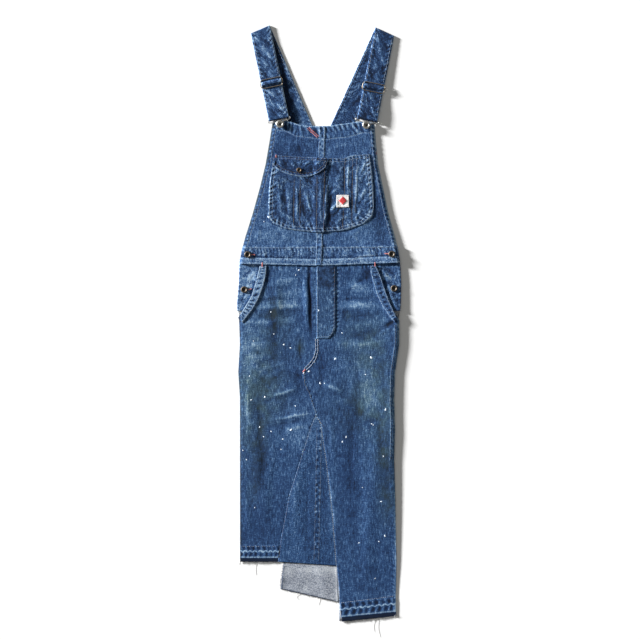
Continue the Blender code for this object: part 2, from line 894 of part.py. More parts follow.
def make_strap(name, fold, button, slide_distance):
    stations = strap_stations(fold, button, slide_distance)

    def place(s, t):
        centre, level, across = stations[round(t * (len(stations) - 1))]
        spot = centre + across * (2 * s - 1)
        return spot.x, spot.y, level

    cloth("strap_" + name, STRAP_COLUMNS, len(stations) - 1, place, DENIM, STRAP_THICKNESS, 0)


def make_wire(name, points, radius, closed, colour, centre, turn):
    # A wire through points in millimetres, placed at its centre and turned in plan.
    data = bpy.data.curves.new(name, "CURVE")
    data.dimensions = "3D"
    data.bevel_depth = radius * MM
    data.bevel_resolution = 2
    data.use_fill_caps = not closed
    line = data.splines.new("POLY")
    line.points.add(len(points) - 1)
    for point, (x, y, z) in zip(line.points, points):
        point.co = (x * MM, y * MM, z * MM, 1.0)
    line.use_cyclic_u = closed
    thing = place_object(name, data, colour, 0.35, 1.0)
    thing.location = Vector((centre.x, centre.y, 0)) * MM
    thing.rotation_euler.z = turn
    return thing


def mesh_of(thing):
    # The curve object's wire as a mesh object in its place.
    bpy.context.view_layer.update()
    mesh = bpy.data.meshes.new_from_object(thing.evaluated_get(
        bpy.context.evaluated_depsgraph_get()))
    shape = bmesh.new()
    shape.from_mesh(mesh)
    bmesh.ops.remove_doubles(shape, verts=shape.verts, dist=0.00001)
    shape.to_mesh(mesh)
    shape.free()
    name = thing.name
    location = thing.location.copy()
    turn = thing.rotation_euler.z
    home = thing.users_collection[0]
    bpy.data.objects.remove(thing, do_unlink=True)
    result = bpy.data.objects.new(name, mesh)
    home.objects.link(result)
    result.location = location
    result.rotation_euler.z = turn
    return result


def rounded_frame(half_width, half_length, corner, steps):
    points = []
    for index in range(4):
        sign_x = 1 if index in (0, 3) else -1
        sign_y = 1 if index in (0, 1) else -1
        for step in range(steps + 1):
            angle = math.radians(90 * index + 90 * step / steps)
            x = sign_x * (half_width - corner) + corner * math.cos(angle)
            y = sign_y * (half_length - corner) + corner * math.sin(angle)
            points.append((x, y, SLIDE_LEVEL))
    return points


def make_slide(name, centre, turn):
    frame = rounded_frame(SLIDE_HALF_WIDTH, SLIDE_HALF_LENGTH, SLIDE_CORNER, SLIDE_CORNER_STEPS)
    slide = mesh_of(make_wire(name, frame, SLIDE_WIRE, True, ANTIQUE_METAL, centre, turn))
    bar_ends = [(-SLIDE_HALF_WIDTH, 0, SLIDE_LEVEL), (SLIDE_HALF_WIDTH, 0, SLIDE_LEVEL)]
    bar = mesh_of(make_wire(name + "_middle_bar", bar_ends, SLIDE_WIRE * MIDDLE_BAR_SHARE, False,
                            ANTIQUE_METAL, centre, turn))
    bpy.data.collections["cutters"].objects.link(bar)
    bpy.data.collections["denim_pinafore_dress"].objects.unlink(bar)
    bar.hide_render = True
    bar.display_type = "WIRE"
    join = slide.modifiers.new("middle_bar", "BOOLEAN")
    join.operation = "UNION"
    join.solver = "EXACT"
    join.object = bar


def make_buckle(name, button, turn):
    def level(drop):
        start, end = BUCKLE_RISE
        rise = clamp((drop - start) / (end - start))
        return blend(BUCKLE_BAR_LEVEL, BUCKLE_EYE_LEVEL, rise)

    right = [(x, BUCKLE_BAR_TO_BUTTON - drop, level(drop)) for x, drop in BUCKLE_SIDE]
    eye = []
    for step in range(BUCKLE_EYE_STEPS + 1):
        angle = -math.pi * step / BUCKLE_EYE_STEPS
        eye.append((BUCKLE_EYE_RADIUS * math.cos(angle), BUCKLE_EYE_RADIUS * math.sin(angle),
                    BUCKLE_EYE_LEVEL))
    left = [(-x, y, z) for x, y, z in reversed(right)]
    bar_middle = [(x, BUCKLE_BAR_TO_BUTTON, BUCKLE_BAR_LEVEL)
                  for x in (-BUCKLE_BAR_INNER, BUCKLE_BAR_INNER)]
    make_wire(name, bar_middle + right + eye + left, BUCKLE_WIRE, True, NICKEL, button, turn)


def make_button(name, profile, x, y, base, colour, scale=1.0):
    # A turned button standing on the cloth at height base.
    mesh = bpy.data.meshes.new(name)
    shape = bmesh.new()
    spots = [shape.verts.new((radius * scale * MM, 0, height * MM)) for radius, height in profile]
    for upper, lower in zip(spots, spots[1:]):
        shape.edges.new((upper, lower))
    shape.to_mesh(mesh)
    shape.free()
    thing = place_object(name, mesh, colour, 0.35, 1.0)
    thing.location = Vector((x, y, base)) * MM
    turn = thing.modifiers.new("turned", "SCREW")
    turn.steps = BUTTON_STEPS
    turn.render_steps = BUTTON_STEPS
    turn.use_merge_vertices = True
    turn.merge_threshold = 0.0001


def make_straps_and_hardware():
    for side, fold, button, slide_distance in STRAP_SIDES:
        fold = Vector(fold)
        button = Vector(button)
        down = (button - fold).normalized()
        across = across_of(down)
        turn = math.atan2(across.y, across.x)
        make_strap(side, fold, button, slide_distance)
        make_slide("slide_" + side, fold + down * slide_distance, turn)
        make_buckle("buckle_" + side, button, turn)
        base = front_top(button.x, button.y) + SEAM_GAP
        make_button("bib_button_" + side, RING_BUTTON, button.x, button.y, base, NICKEL)


def make_side_and_flap_buttons():
    for name, x, y, carrier in SIDE_BUTTONS:
        if carrier == "band":
            base = overlay_under(x, y) + DOUBLE_WALL + STACK_GAP
        else:
            base = FACING_LEVEL + WALL + STACK_GAP
        make_button(name, TACK_BUTTON, x, y, base, ANTIQUE_METAL)
    x, y = FLAP_BUTTON
    base = flap_under(x, y) + WALL + STACK_GAP
    make_button("flap_button", TACK_BUTTON, x, y, base, BRASS, FLAP_BUTTON_SCALE)


def main():
    for thing in list(bpy.data.objects):
        bpy.data.objects.remove(thing, do_unlink=True)
    collection = bpy.data.collections.new("denim_pinafore_dress")
    bpy.context.scene.collection.children.link(collection)
    cutters = bpy.data.collections.new("cutters")
    bpy.context.scene.collection.children.link(cutters)
    make_back()
    make_skirt_front()
    make_front_gusset()
    make_side_pockets()
    make_waistband()
    make_fly()
    make_bib()
    make_bib_pocket()
    make_straps_and_hardware()
    make_side_and_flap_buttons()


main()
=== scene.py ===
import math

import bmesh
import bpy
import numpy as np
from mathutils import Matrix, Vector


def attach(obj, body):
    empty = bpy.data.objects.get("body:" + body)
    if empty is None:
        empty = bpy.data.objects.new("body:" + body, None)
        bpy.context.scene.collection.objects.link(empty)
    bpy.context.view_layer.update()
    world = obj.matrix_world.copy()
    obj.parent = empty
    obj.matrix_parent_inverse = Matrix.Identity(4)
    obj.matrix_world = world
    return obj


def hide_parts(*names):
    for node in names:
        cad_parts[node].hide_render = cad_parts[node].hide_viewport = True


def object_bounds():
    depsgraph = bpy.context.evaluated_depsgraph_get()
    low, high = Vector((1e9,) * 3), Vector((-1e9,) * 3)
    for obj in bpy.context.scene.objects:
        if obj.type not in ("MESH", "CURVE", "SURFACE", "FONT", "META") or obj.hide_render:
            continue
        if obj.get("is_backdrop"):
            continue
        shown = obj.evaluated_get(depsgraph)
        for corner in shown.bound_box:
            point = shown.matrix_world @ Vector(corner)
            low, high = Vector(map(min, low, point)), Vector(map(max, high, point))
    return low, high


# Denim pinafore dress, laid flat with its front up. Lengths in the tables are millimetres.
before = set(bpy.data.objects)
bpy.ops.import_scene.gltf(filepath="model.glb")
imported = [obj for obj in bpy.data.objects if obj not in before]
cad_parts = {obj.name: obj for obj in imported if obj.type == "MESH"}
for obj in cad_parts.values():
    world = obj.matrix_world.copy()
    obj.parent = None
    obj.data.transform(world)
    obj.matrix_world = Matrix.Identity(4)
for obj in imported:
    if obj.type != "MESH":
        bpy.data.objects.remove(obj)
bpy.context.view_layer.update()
mm = 0.001
print("frame loaded:", len(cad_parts), "nodes")

# The laid garment's own sizes, the same as its solids have.
layout = {
        "wall": 1.2,
        "doubleWall": 1.8,
        "seamGap": 0.3,
        "panelTop": 162,
        "stackGap": 0.35,
        "rollWidth": 8,
        "rollClearance": 0.35,
        "sideSeamHeight": 1.5,
        "bibEdgeHeight": 0.6,
        "facingLevel": 1.55,
        "stripWidth": 14.6,
        "liftNear": 10.5,
        "liftFar": 18.5,
        "pocketWall": 0.95,
        "rightRise": ((500, 0), (240, 0.2), (200, 0.7), (128, 2), (56, 2.6), (-64, 2.6), (-184, 2.5),
        (-304, 2.1), (-424, 1.2), (-544, 0.2), (-640, -1), (-730, -1)),
        "levels": ((500, 4.1), (150, 4.1), (60, 3.7), (-300, 2.9), (-560, 1.6), (-730, 1.6)),
        "outline": (
        (500, -108, 131), (484, -110, 133), (440, -117, 136), (382, -127, 142), (325, -141, 154),
        (267, -157, 166), (210, -175, 182), (181, -183, 189), (140, -191, 196), (97, -192, 198),
        (51, -196, 197), (25, -196, 195), (8, -191, 193), (-50, -189, 193), (-83, -191, 188),
        (-117, -193, 183), (-179, -189, 181), (-256, -189, 183), (-328, -189, 181),
        (-424, -189, 184), (-532, -189, 186), (-570, -189, 187), (-664, -189, 185),
        (-730, -189, 187)),
        # long soft folds: start x, y, end x, y, half width, height
        "folds": (
        (-106, 120, -104, -20, 15, 1.2), (-30, 135, -24, -30, 12, 0.9),
        (70, 60, 160, 10, 15, 0.8), (-125, -178, -44, -152, 14, 0.9),
        (-120, -232, -16, -212, 14, 0.8), (10, -145, 66, -166, 14, 0.8),
        (-150, -290, -128, -500, 17, 1.1), (140, -240, 112, -660, 18, 1.2),
        (84, -110, 100, -200, 15, 0.8), (-158, -60, -150, -170, 15, 0.8)),
}
seams = {
        "bib": ((500, 8.5), (186, 1), (140, -1)),
        "bibTop": ((-112, 482), (-96, 486), (-81, 487), (-68, 484), (-48, 477), (-34, 474), (1, 473),
        (28, 474), (52, 478), (77, 481), (93, 484), (135, 481)),
        "centre": ((162, -1), (140, -7), (-65, -7), (-83, -13), (-98, -24), (-111, -36), (-126, -36),
        (-146, -33), (-165, -24), (-191, -16), (-220, -7)),
        "gussetLeft": ((-220, -7), (-236, -15), (-261, -24), (-294, -34), (-335, -47), (-371, -58),
        (-414, -72), (-453, -79), (-494, -87), (-534, -94), (-573, -98)),
        "gussetRight": ((-220, -7), (-236, 5), (-261, 9), (-335, 20), (-414, 29), (-453, 34),
        (-494, 37), (-534, 40), (-585, 44), (-626, 48), (-664, 50), (-693, 53),
        (-720, 56)),
        "gussetCentre": ((-220, -7), (-236, 1), (-261, 1), (-573, -6)),
        "leftMouth": ((162, -136), (140, -141), (96, -152), (67, -161), (40, -177), (25, -186),
        (15, -192)),
        "rightMouth": ((162, 130), (142, 136), (107, 151), (81, 159), (53, 169), (29, 180),
        (8, 192.5)),
}


def blend(low, high, amount):
    return low + (high - low) * amount


def smoothStep(amount):
    amount = np.clip(amount, 0, 1)
    return amount * amount * (3 - 2 * amount)


def bell(value):
    # 1 at zero, falling off smoothly to both sides
    return np.exp(-value ** 2)


def tableAt(table, key, column=1):
    rows = sorted(table)
    return np.interp(key, [row[0] for row in rows], [row[column] for row in rows])


def wobble(value, seed):
    # a smooth random curve between -1 and 1
    steps = np.random.default_rng(seed).uniform(-1, 1, 256)
    cell = np.floor(value).astype(int)
    part = smoothStep(value - cell)
    return blend(steps[cell % 256], steps[(cell + 1) % 256], part)


def mottle(x, y, size, seed):
    # a smooth random field between -1 and 1, its patches about one size across
    steps = np.random.default_rng(seed).uniform(-1, 1, (64, 64))
    u, v = x / size, y / size
    i, j = np.floor(u).astype(int), np.floor(v).astype(int)
    a, b = smoothStep(u - i), smoothStep(v - j)
    i, j, k, l = i % 64, j % 64, (i + 1) % 64, (j + 1) % 64
    return blend(blend(steps[i, j], steps[k, j], a), blend(steps[i, l], steps[k, l], a), b)


def outlineLeft(y):
    return tableAt(layout["outline"], y, 1)


def outlineRight(y):
    return tableAt(layout["outline"], y, 2)


def creaseField(creases, x, y, wander=0):
    # height and tint of soft ridges and troughs: x0, y0, x1, y1, half width, height, tint
    height = np.zeros_like(x)
    tint = np.zeros_like(x)
    for number, (x0, y0, x1, y1, halfWidth, rise, *shade) in enumerate(creases):
        length = math.hypot(x1 - x0, y1 - y0)
        dx, dy = (x1 - x0) / length, (y1 - y0) / length
        along = ((x - x0) * dx + (y - y0) * dy) / length
        across = (x - x0) * dy - (y - y0) * dx
        if wander:
            across = across + wander * halfWidth * wobble(along * length / 22, 40 + number)
        shape = smoothStep(1.35 - 2.7 * np.abs(along - 0.5)) * bell(across / halfWidth)
        height += rise * shape
        if shade:
            tint += shade[0] * shape
    return height, tint


def patchField(patches, x, y):
    # soft round patches: x, y, half width, half height, turn in degrees, amount
    total = np.zeros_like(x)
    for px, py, halfWidth, halfHeight, turn, amount in patches:
        angle = math.radians(turn)
        u = (x - px) * math.cos(angle) + (y - py) * math.sin(angle)
        v = (y - py) * math.cos(angle) - (x - px) * math.sin(angle)
        total += amount * np.exp(-(u / halfWidth) ** 2 - (v / halfHeight) ** 2)
    return total


def pathPlace(path, x, y):
    # how far along a line of points each spot is, and how far to the line's left
    best = np.full(x.shape, 1e9)
    along = np.zeros_like(x)
    across = np.zeros_like(x)
    run = 0
    for (x0, y0), (x1, y1) in zip(path, path[1:]):
        dx, dy = x1 - x0, y1 - y0
        length = math.hypot(dx, dy)
        part = np.clip(((x - x0) * dx + (y - y0) * dy) / length ** 2, 0, 1)
        ox, oy = x - x0 - part * dx, y - y0 - part * dy
        distance = np.hypot(ox, oy)
        nearer = distance < best
        best = np.where(nearer, distance, best)
        along = np.where(nearer, run + part * length, along)
        across = np.where(nearer, np.where(dx * oy - dy * ox > 0, distance, -distance), across)
        run += length
    return along, across


def puckerField(ropes, x, y):
    # uneven puckers beside seams: path, shift, period, reach, slant, height, tint, seed
    height = np.zeros_like(x)
    tint = np.zeros_like(x)
    for path, shift, period, reach, slant, rise, shade, seed in ropes:
        along, across = pathPlace(path, x, y)
        across = across - shift
        drift = 0.5 * wobble(along / (2.6 * period), seed)
        strength = 0.62 + 0.38 * wobble(along / (1.7 * period), seed + 1)
        wave = np.sin(2 * math.pi * (along / period + slant * across / period + drift))
        wave = np.tanh(1.7 * wave) * strength * bell(across / reach)
        height += rise * wave
        tint += shade * wave
    return height, tint


def lineField(lines, x, y):
    # narrow pale or dark lines: path, shift, half width, height, tint
    height = np.zeros_like(x)
    tint = np.zeros_like(x)
    for path, shift, halfWidth, rise, shade in lines:
        across = pathPlace(path, x, y)[1] - shift
        shape = bell(across / halfWidth)
        height += rise * shape
        tint += shade * shape
    return height, tint


def wisps(x, y, size, seed):
    # thin wandering worn ridges, strongest in scattered patches
    field = mottle(x, y, size, seed) + 0.5 * mottle(x, y, size / 2.3, seed + 1)
    line = bell(field / 0.15)
    return line * smoothStep(0.45 + 0.9 * mottle(x, y, 1.4 * size, seed + 2))


def longWisps(x, y, size, turn, seed):
    # the same ridges drawn out along one direction, given in degrees from x
    angle = math.radians(turn)
    along = x * math.cos(angle) + y * math.sin(angle)
    across = y * math.cos(angle) - x * math.sin(angle)
    return wisps(0.45 * along, 1.25 * across, size, seed)


def edgeRoll(x, y):
    distance = np.minimum(x - outlineLeft(y), outlineRight(y) - x)
    roll = np.sin(math.pi / 2 * np.clip(distance / layout["rollWidth"], 0, 1))
    above = np.clip((y - 190) / 60, 0, 1)
    return roll, blend(layout["sideSeamHeight"], layout["bibEdgeHeight"], above)


def rightRise(x, y):
    # the right side lies a little off the floor, as its shadow shows
    away = np.maximum(outlineRight(y) - x, 0)
    return tableAt(layout["rightRise"], y) * bell(away / 42)


def frontUnder(x, y):
    roll, edgeHeight = edgeRoll(x, y)
    edgeHeight = edgeHeight + rightRise(x, y)
    level = tableAt(layout["levels"], y) + creaseField(layout["folds"], x, y)[0] + rightRise(x, y)
    return blend(edgeHeight, level, roll)


def sidePath(table, low, high, column=1):
    # the part of an outline or seam table between two heights, from the top down
    inner = [(row[column], row[0]) for row in table if low < row[0] < high]
    top = (float(tableAt(table, high, column)), high)
    foot = (float(tableAt(table, low, column)), low)
    return [top] + sorted(inner, key=lambda spot: -spot[1]) + [foot]


frontLook = {
        # creases of the front: start x, y, end x, y, half width, height, tint
        "creases": (
        (-24.5, 161.5, -17, -54.5, 3.6, -1, -1), (-33, 133, -29.5, -16, 5, 0.6, 0.12),
        (-112, 104, -110, -25.5, 8, -0.5, -0.3), (-98, 113.5, -95.5, -16, 7, 0.5, 0.14),
        (-165, 56, -38, 59.5, 4, -0.3, -0.3), (-170, 37, -23.5, 43, 5.5, 0.3, 0.4),
        (-179.5, 13, -45, 20, 4.5, -0.3, -0.14), (-182, -1.5, -45, 10.5, 5, 0.3, 0.26),
        (-136, 85, -35.5, 89.5, 4, -0.3, -0.12), (-117, 101.5, -45, 106.5, 5, 0.3, 0.12),
        (-186.5, -35, -136, -23, 4, -0.4, -0.12), (-179.5, -57, -102.5, -42.5, 5, 0.4, 0.14),
        (44, 56, 147, 63, 4, -0.4, -0.28), (36.5, 39, 152, 44, 5.5, 0.3, 0.3),
        (44, 13, 156.5, 22.5, 4, -0.3, -0.18), (46, -6.5, 166, 3, 5, 0.4, 0.16),
        (46, 85, 132.5, 92, 5, 0.4, 0.16), (75, -35, 176, -9, 4.5, -0.4, -0.2),
        (63, -57, 176, -37.5, 6, 0.5, 0.24), (-146, 113.5, -114.5, 97, 4, -0.5, -0.42),
        (125.5, 113.5, 89.5, 94.5, 4, -0.5, -0.38), (156.5, -9, 188, 8, 4.5, -0.8, -0.8),
        (142, -25.5, 178, -9, 4, 0.5, 0.15), (-186.5, -6.5, -160, 5.5, 3.5, 0.5, 0.3),
        (-119.5, -177, -45, -153, 3.2, 0.5, 0.46), (-136, -189, -50, -169.5, 4.5, -0.4, -0.14),
        (-122, -233, -6.5, -213, 3.2, 0.5, 0.46), (-129, -249, -16, -229.5, 5, -0.4, -0.12),
        (8, -144.5, 63, -166, 3, 0.5, 0.4), (8, -157.5, 75, -181.5, 4, -0.3, -0.12),
        (-86, -261, -30.5, -241.5, 6, 0.4, 0.3), (-153, -117, -69, -93, 4, 0.4, 0.14),
        (-165, -102.5, -81, -76, 4.5, -0.4, -0.16), (-69, -117, -30.5, -131, 4, -0.3, -0.14),
        (17.5, -117, 80, -102.5, 4, 0.3, 0.12), (27, -64, 99, -78.5, 4, -0.3, -0.14),
        (87, -88, 99, -280, 7, -0.5, -0.2), (113.5, -54.5, 125.5, -270.5, 14, 0.4, 0.05),
        (140, -184, 154, -352, 8, -0.5, -0.26), (164, -52, 171, -256, 5, 0.5, 0.14),
        (104, -256, 113.5, -472, 7, 0.3, 0.06), (128, -352, 130, -568, 8, -0.2, -0.08),
        (80, -184, 75, -424, 7, -0.4, -0.12), (75, -472, 80, -664, 8, 0.15, 0.04),
        (156.5, -424, 156.5, -640, 7, 0.15, 0.04), (-146, -136, -136, -352, 7, -0.5, -0.24),
        (-172, -112, -167.5, -280, 6, 0.5, 0.18), (-126.5, -280, -146, -424, 6, -0.4, -0.22),
        (-107.5, -256, -126.5, -472, 8, 0.4, 0.08), (-174.5, -352, -172, -520, 6, 0.3, 0.07),
        (-83.5, -160, -83.5, -280, 7, -0.3, -0.1), (-54.5, -40, -38, -102.5, 4, -0.4, -0.26),
        (8, -52, 5.5, -184, 6, -0.3, -0.16), (24.5, -184, 36.5, -352, 6, 0.4, 0.12),
        (-45, -328, -64, -520, 9, 0.4, 0.1), (-26, -352, -30.5, -556, 6, -0.3, -0.08),
        (27, -304, 34, -556, 10, 0.2, 0.22), (-74, 435, -64, 411, 5, 0.4, 0.12),
        (-45, 435, -52, 406.5, 5, -0.4, -0.16), (34, 435, 46, 413.5, 5, 0.3, 0.1),
        (-136, 260, -45, 193, 6, 0.4, 0.08), (137.5, 260, 51, 193, 6, 0.4, 0.1),
        (-141, 236, -150.5, 190.5, 5, 0.4, 0.1), (-69, 212, -64, 188, 5, -0.3, -0.1),
        (80, 217, 94, 188, 4, 0.4, 0.16), (-126.5, 368, -136, 284, 5, -0.3, -0.12),
        (140, 368, 149.5, 272, 5, 0.4, 0.12)),
        # broad fades, painted shade and stains: x, y, half width, half height, turn, amount
        "fadesAndShade": (
        (-81, 80, 75, 44, 0, 0.22), (101.5, 80, 50, 40, 0, 0.16),
        (-165, -59, 30, 70, 0, 0.32), (123, -136, 32, 105, 0, 0.24),
        (-93, -52, 45, 45, 0, 0.1), (-45, -232, 40, 50, 20, 0.12),
        (-2, -424, 40, 140, 0, -0.14), (63, -124, 40, 50, 0, 0.04),
        (-170, -208, 16, 60, 0, 0.2), (80, 80, 25, 25, 0, 0.12),
        (3, -16, 18, 90, 0, 0.06), (27, 416, 90, 30, 0, 0.04),
        (-69, 416, 60, 40, 0, -0.22), (-2, 296, 150, 120, 0, -0.1),
        (147, 248, 17, 70, 0, -0.3), (104, -35, 30, 14, 0, -0.22),
        (-2, -520, 50, 70, 0, -0.16), (-129, -484, 60, 60, 0, -0.08),
        (-88, 209.5, 75, 34, 0, 0.2), (111, 209.5, 50, 28, 0, 0.14),
        (-136, 109, 20, 26, 0, -0.22), (113.5, 109, 22, 22, 0, -0.24),
        (-117, 32, 14, 60, 0, -0.1), (-136, -316, 20, 70, 0, -0.2),
        (8, -88, 20, 40, 0, -0.14), (-153, -496, 60, 60, 0, -0.1),
        (113.5, -592, 80, 90, 0, -0.1), (161.5, -352, 20, 90, 0, -0.22),
        (70, -244, 30, 80, 0, -0.2), (-40, 56, 14, 60, 0, -0.1),
        (-153, 92, 18, 20, 0, 0.2), (168.5, 80, 16, 22, 0, 0.24),
        (-105, 13, 8, 66, -2, -0.42), (-110, -52, 16, 40, 0, -0.26),
        (-45, -57, 4.5, 12, 0, -0.6), (-150.5, -69, 14, 4.5, -8, -0.4),
        (-134, -136, 5, 10, 25, -0.46), (-105, -131, 22, 5, 38, -0.3),
        (-52, -131, 12, 40, 12, -0.2), (-160, -203, 10, 30, 0, -0.22),
        (-38, 13, 5, 9, 0, -0.3), (104, -213, 9, 9, 20, -0.34),
        (125.5, -234.5, 9, 14, 0, -0.34), (161.5, -179, 9, 34, 0, -0.22),
        (60.5, 25, 3.5, 11, 0, -0.46), (32, 56, 10, 34, 0, -0.22),
        # the next two are painted shade at the top of the pocket mouths
        (-136, 121, 14, 9, -20, -0.46), (118, 123, 12, 12, 30, -0.44),
        (-153, -364, 12, 60, 0, -0.16), (-45, -280, 30, 18, 20, 0.16),
        (130, -165, 24, 90, 0, 0.08), (80, -45, 36, 10, 0, 0.22),
        (-102.5, 56, 50, 7, 3, 0.26), (-93, 29.5, 52, 6, 3, -0.24),
        (-102.5, 82.5, 44, 6, 2, -0.16), (80, 49, 40, 7, -3, 0.26),
        (87, 27, 40, 5, -3, -0.2), (104, 70.5, 40, 5, -3, -0.16),
        (144.5, -97.5, 32, 62, 0, -0.26), (-78.5, -64, 12, 60, 0, -0.2),
        (65.5, 85, 12, 46, 0, -0.3), (80, -390.5, 34, 54, 0, -0.2),
        (5.5, -501, 12, 50, 0, 0.16), (166, -424, 14, 100, 0, -0.14),
        (82, -472, 12, 60, 0, -0.12), (17.5, -424, 12, 44, 0, -0.14),
        (-83.5, -424, 10, 70, 0, -0.12), (-83.5, -208, 12, 20, 0, -0.16)),
        "stains": (
        (-136, -100, 55, 80, 0, 0.5), (-160, -184, 34, 90, 0, 0.6),
        (-117, -184, 40, 50, 10, 0.45), (-153, -292, 30, 60, 0, 0.45),
        (130, -136, 46, 110, 0, 0.62), (156.5, -280, 28, 100, 0, 0.66), (63, -196, 60, 60, 0, 0.2),
        (104, -35, 56, 50, 0, 0.36), (-45, -59, 8, 18, 0, 0.8),
        (70, 17.5, 6, 12, 0, 0.5), (63, -52, 8, 10, 0, 0.35),
        (99, -203, 10, 14, 0, 0.5), (-105, 17.5, 36, 60, 0, 0.46),
        (166, -424, 22, 60, 0, 0.45), (-158, -400, 18, 40, 0, 0.25),
        (-45, 212, 60, 20, 0, 0.1), (135, 224, 30, 30, 0, 0.14)),
}
rightSide = sidePath(layout["outline"], -716, 484, 2)
bibLeftSide = sidePath(layout["outline"], 184, 484, 1)
bibRightSide = sidePath(layout["outline"], 184, 484, 2)
centreSeam = sidePath(seams["centre"], -220, -36)
gussetLeftSeam = sidePath(seams["gussetLeft"], -573, -220)
gussetRightSeam = sidePath(seams["gussetRight"], -700, -220)
bibTopLine = [(x, y) for x, y in seams["bibTop"]]
bibHemLine = [(-99.5, 463), (-80, 461.5), (-65, 454.5), (-55.5, 449.5), (-35.5, 447),
    (-6.5, 443.5), (20.5, 441.5), (46, 445), (69.5, 447), (89.5, 452), (101.5, 457),
    (131, 457)]
# puckers: path, shift to the path's left, period, reach, slant, height, tint, seed
frontRopes = (
        (bibTopLine, -9, 12, 9, 0.35, 0.3, 0.66, 3),
        (bibHemLine, 6.5, 12.5, 6, 0.3, 0.25, 0.5, 4),
        (bibLeftSide, 5.5, 9.5, 4, 0.5, 0.12, 0.36, 5),
        (bibRightSide, -5, 9.5, 4.5, -0.5, 0.3, 0.46, 7),
        ([(47.5, 135), (46, 56), (46, -11)], 0, 10.5, 4, 0.3, 0.3, 0.42, 19),
        ([(-136, 131.5), (-45, 131.5), (-11.5, 131.5)], 0, 13, 4.5, 0.2, 0.35, 0.44, 20),
        ([(8, 131.5), (75, 131.5), (132.5, 137.5)], 0, 12, 4.5, 0.2, 0.35, 0.36, 21),
        ([(-11, 133), (-10, 56), (-9, -35)], 0, 14, 3, 0.2, 0.2, 0.24, 22),
        (sidePath(layout["outline"], -560, 140, 1), 5, 11, 5, 0.4, 0.1, 0.14, 9),
        (sidePath(layout["outline"], -690, 140, 2), -7, 10, 5, -0.4, 0.18, 0.2, 11),
        (centreSeam, 3, 9, 4.5, 0.6, 0.3, 0.26, 13),
        (gussetLeftSeam, 0, 8.5, 4, 0.5, 0.18, 0.18, 15),
        (gussetRightSeam, 0, 8, 4, -0.5, 0.2, 0.2, 17),
)
# lines: path, shift, half width, height, tint
frontLines = (
        (bibTopLine, -1, 1.8, 0.2, 0.55),
        (bibHemLine, 0, 1.8, -0.4, 0.34),
        (bibLeftSide, 1.2, 1.4, 0.1, 0.3),
        (bibRightSide, -1.2, 1.8, 0.1, 0.4),
        (bibLeftSide, 10, 1.7, -0.3, 0.18),
        (bibRightSide, -10, 1.7, -0.3, 0.18),
        (centreSeam, 0, 1.6, 0.2, 0.2),
        (gussetLeftSeam, 0.5, 1.5, -0.3, 0.1),
        (gussetRightSeam, -0.5, 1.5, -0.3, 0.28),
        (sidePath(layout["outline"], -400, 0, 2), -11, 1.5, 0.2, 0.2),
)


def frontLookAt(x, y):
    # what the front shows beyond its main form: relief, fade with painted light and shade, and stain
    # with painted shade
    height, tint = creaseField(frontLook["creases"], x, y, 0.35)
    ropeHeight, ropeTint = puckerField(frontRopes, x, y)
    lineHeight, lineTint = lineField(frontLines, x, y)
    worn = wisps(x, y, 11, 67) * blend(0.03, 0.14, smoothStep((y + 60) / 180))
    height, tint = height + 0.7 * worn, 1.1 * tint + worn
    # painted shade along the left edges, which face the low light, and painted light along the right
    # edges, which face away from it
    leftEdgePaintedShade = bell((x - outlineLeft(y)) / 4.5)
    leftEdgePaintedShade = leftEdgePaintedShade * blend(1, 1.9, smoothStep((y - 180) / 40))
    rightEdgePaintedLight = bell((outlineRight(y) - x) / 4.5)
    tint = tint - 0.42 * leftEdgePaintedShade + 0.55 * rightEdgePaintedLight
    grain = 0.05 * mottle(x, y, 26, 70) + 0.03 * mottle(x, y, 9, 71)
    grain = grain + 0.03 * mottle(x, 0.4 * y, 4.5, 69) + 0.03 * mottle(0.4 * x, y, 4.5, 166)
    fade = tint + ropeTint + lineTint + grain + patchField(frontLook["fadesAndShade"], x, y)
    uneven = 0.85 + 0.5 * mottle(x, y, 17, 72) + 0.3 * mottle(x, y, 7, 68)
    # the painted shade along the left edges also greys their colour through the stain value
    stainAndShade = patchField(frontLook["stains"], x, y) * uneven + 0.35 * leftEdgePaintedShade
    soft = 0.12 * mottle(x, y, 30, 73) + 0.05 * mottle(x, y, 13, 74)
    return height + ropeHeight + lineHeight + soft, fade, stainAndShade


def plainTop(x, y):
    return frontUnder(x, y) + layout["wall"]


def setSockets(node, values):
    # each value is a number, a colour or another node's output
    for socket, value in dict(values).items():
        if isinstance(value, bpy.types.NodeSocket):
            node.id_data.links.new(value, node.inputs[socket])
        else:
            node.inputs[socket].default_value = value


def addNode(tree, kind, values=(), **settings):
    node = tree.nodes.new("ShaderNode" + kind)
    for name, value in settings.items():
        setattr(node, name, value)
    setSockets(node, values)
    return node


def mathNode(operation, first, second=0):
    return addNode(first.id_data, "Math", {0: first, 1: second}, operation=operation).outputs[0]


def plus(first, second):
    return mathNode("ADD", first, second)


def minus(first, second):
    return mathNode("SUBTRACT", first, second)


def times(first, second):
    return mathNode("MULTIPLY", first, second)


def shareNode(value, low, high):
    # how far a value has come from one level to another, between 0 and 1
    return addNode(value.id_data, "MapRange", {
        "Value": value, "From Min": low, "From Max": high}).outputs[0]


def mixNode(tree, share, first, second, blending="MIX"):
    return addNode(tree, "Mix", {"Factor": share, "A": first, "B": second}, data_type="RGBA",
        blend_type=blending).outputs["Result"]


def noiseNode(vector, scale, detail, roughness=0.6):
    return addNode(vector.id_data, "TexNoise", {
        "Vector": vector, "Scale": scale, "Detail": detail, "Roughness": roughness}).outputs["Fac"]


def scaledNoise(vector, scale, *values):
    mapping = addNode(vector.id_data, "Mapping", {"Vector": vector, "Scale": scale})
    return noiseNode(mapping.outputs[0], *values)


def reliefNode(height, strength, distance):
    return addNode(height.id_data, "Bump", {
        "Height": height, "Strength": strength, "Distance": distance}).outputs[0]


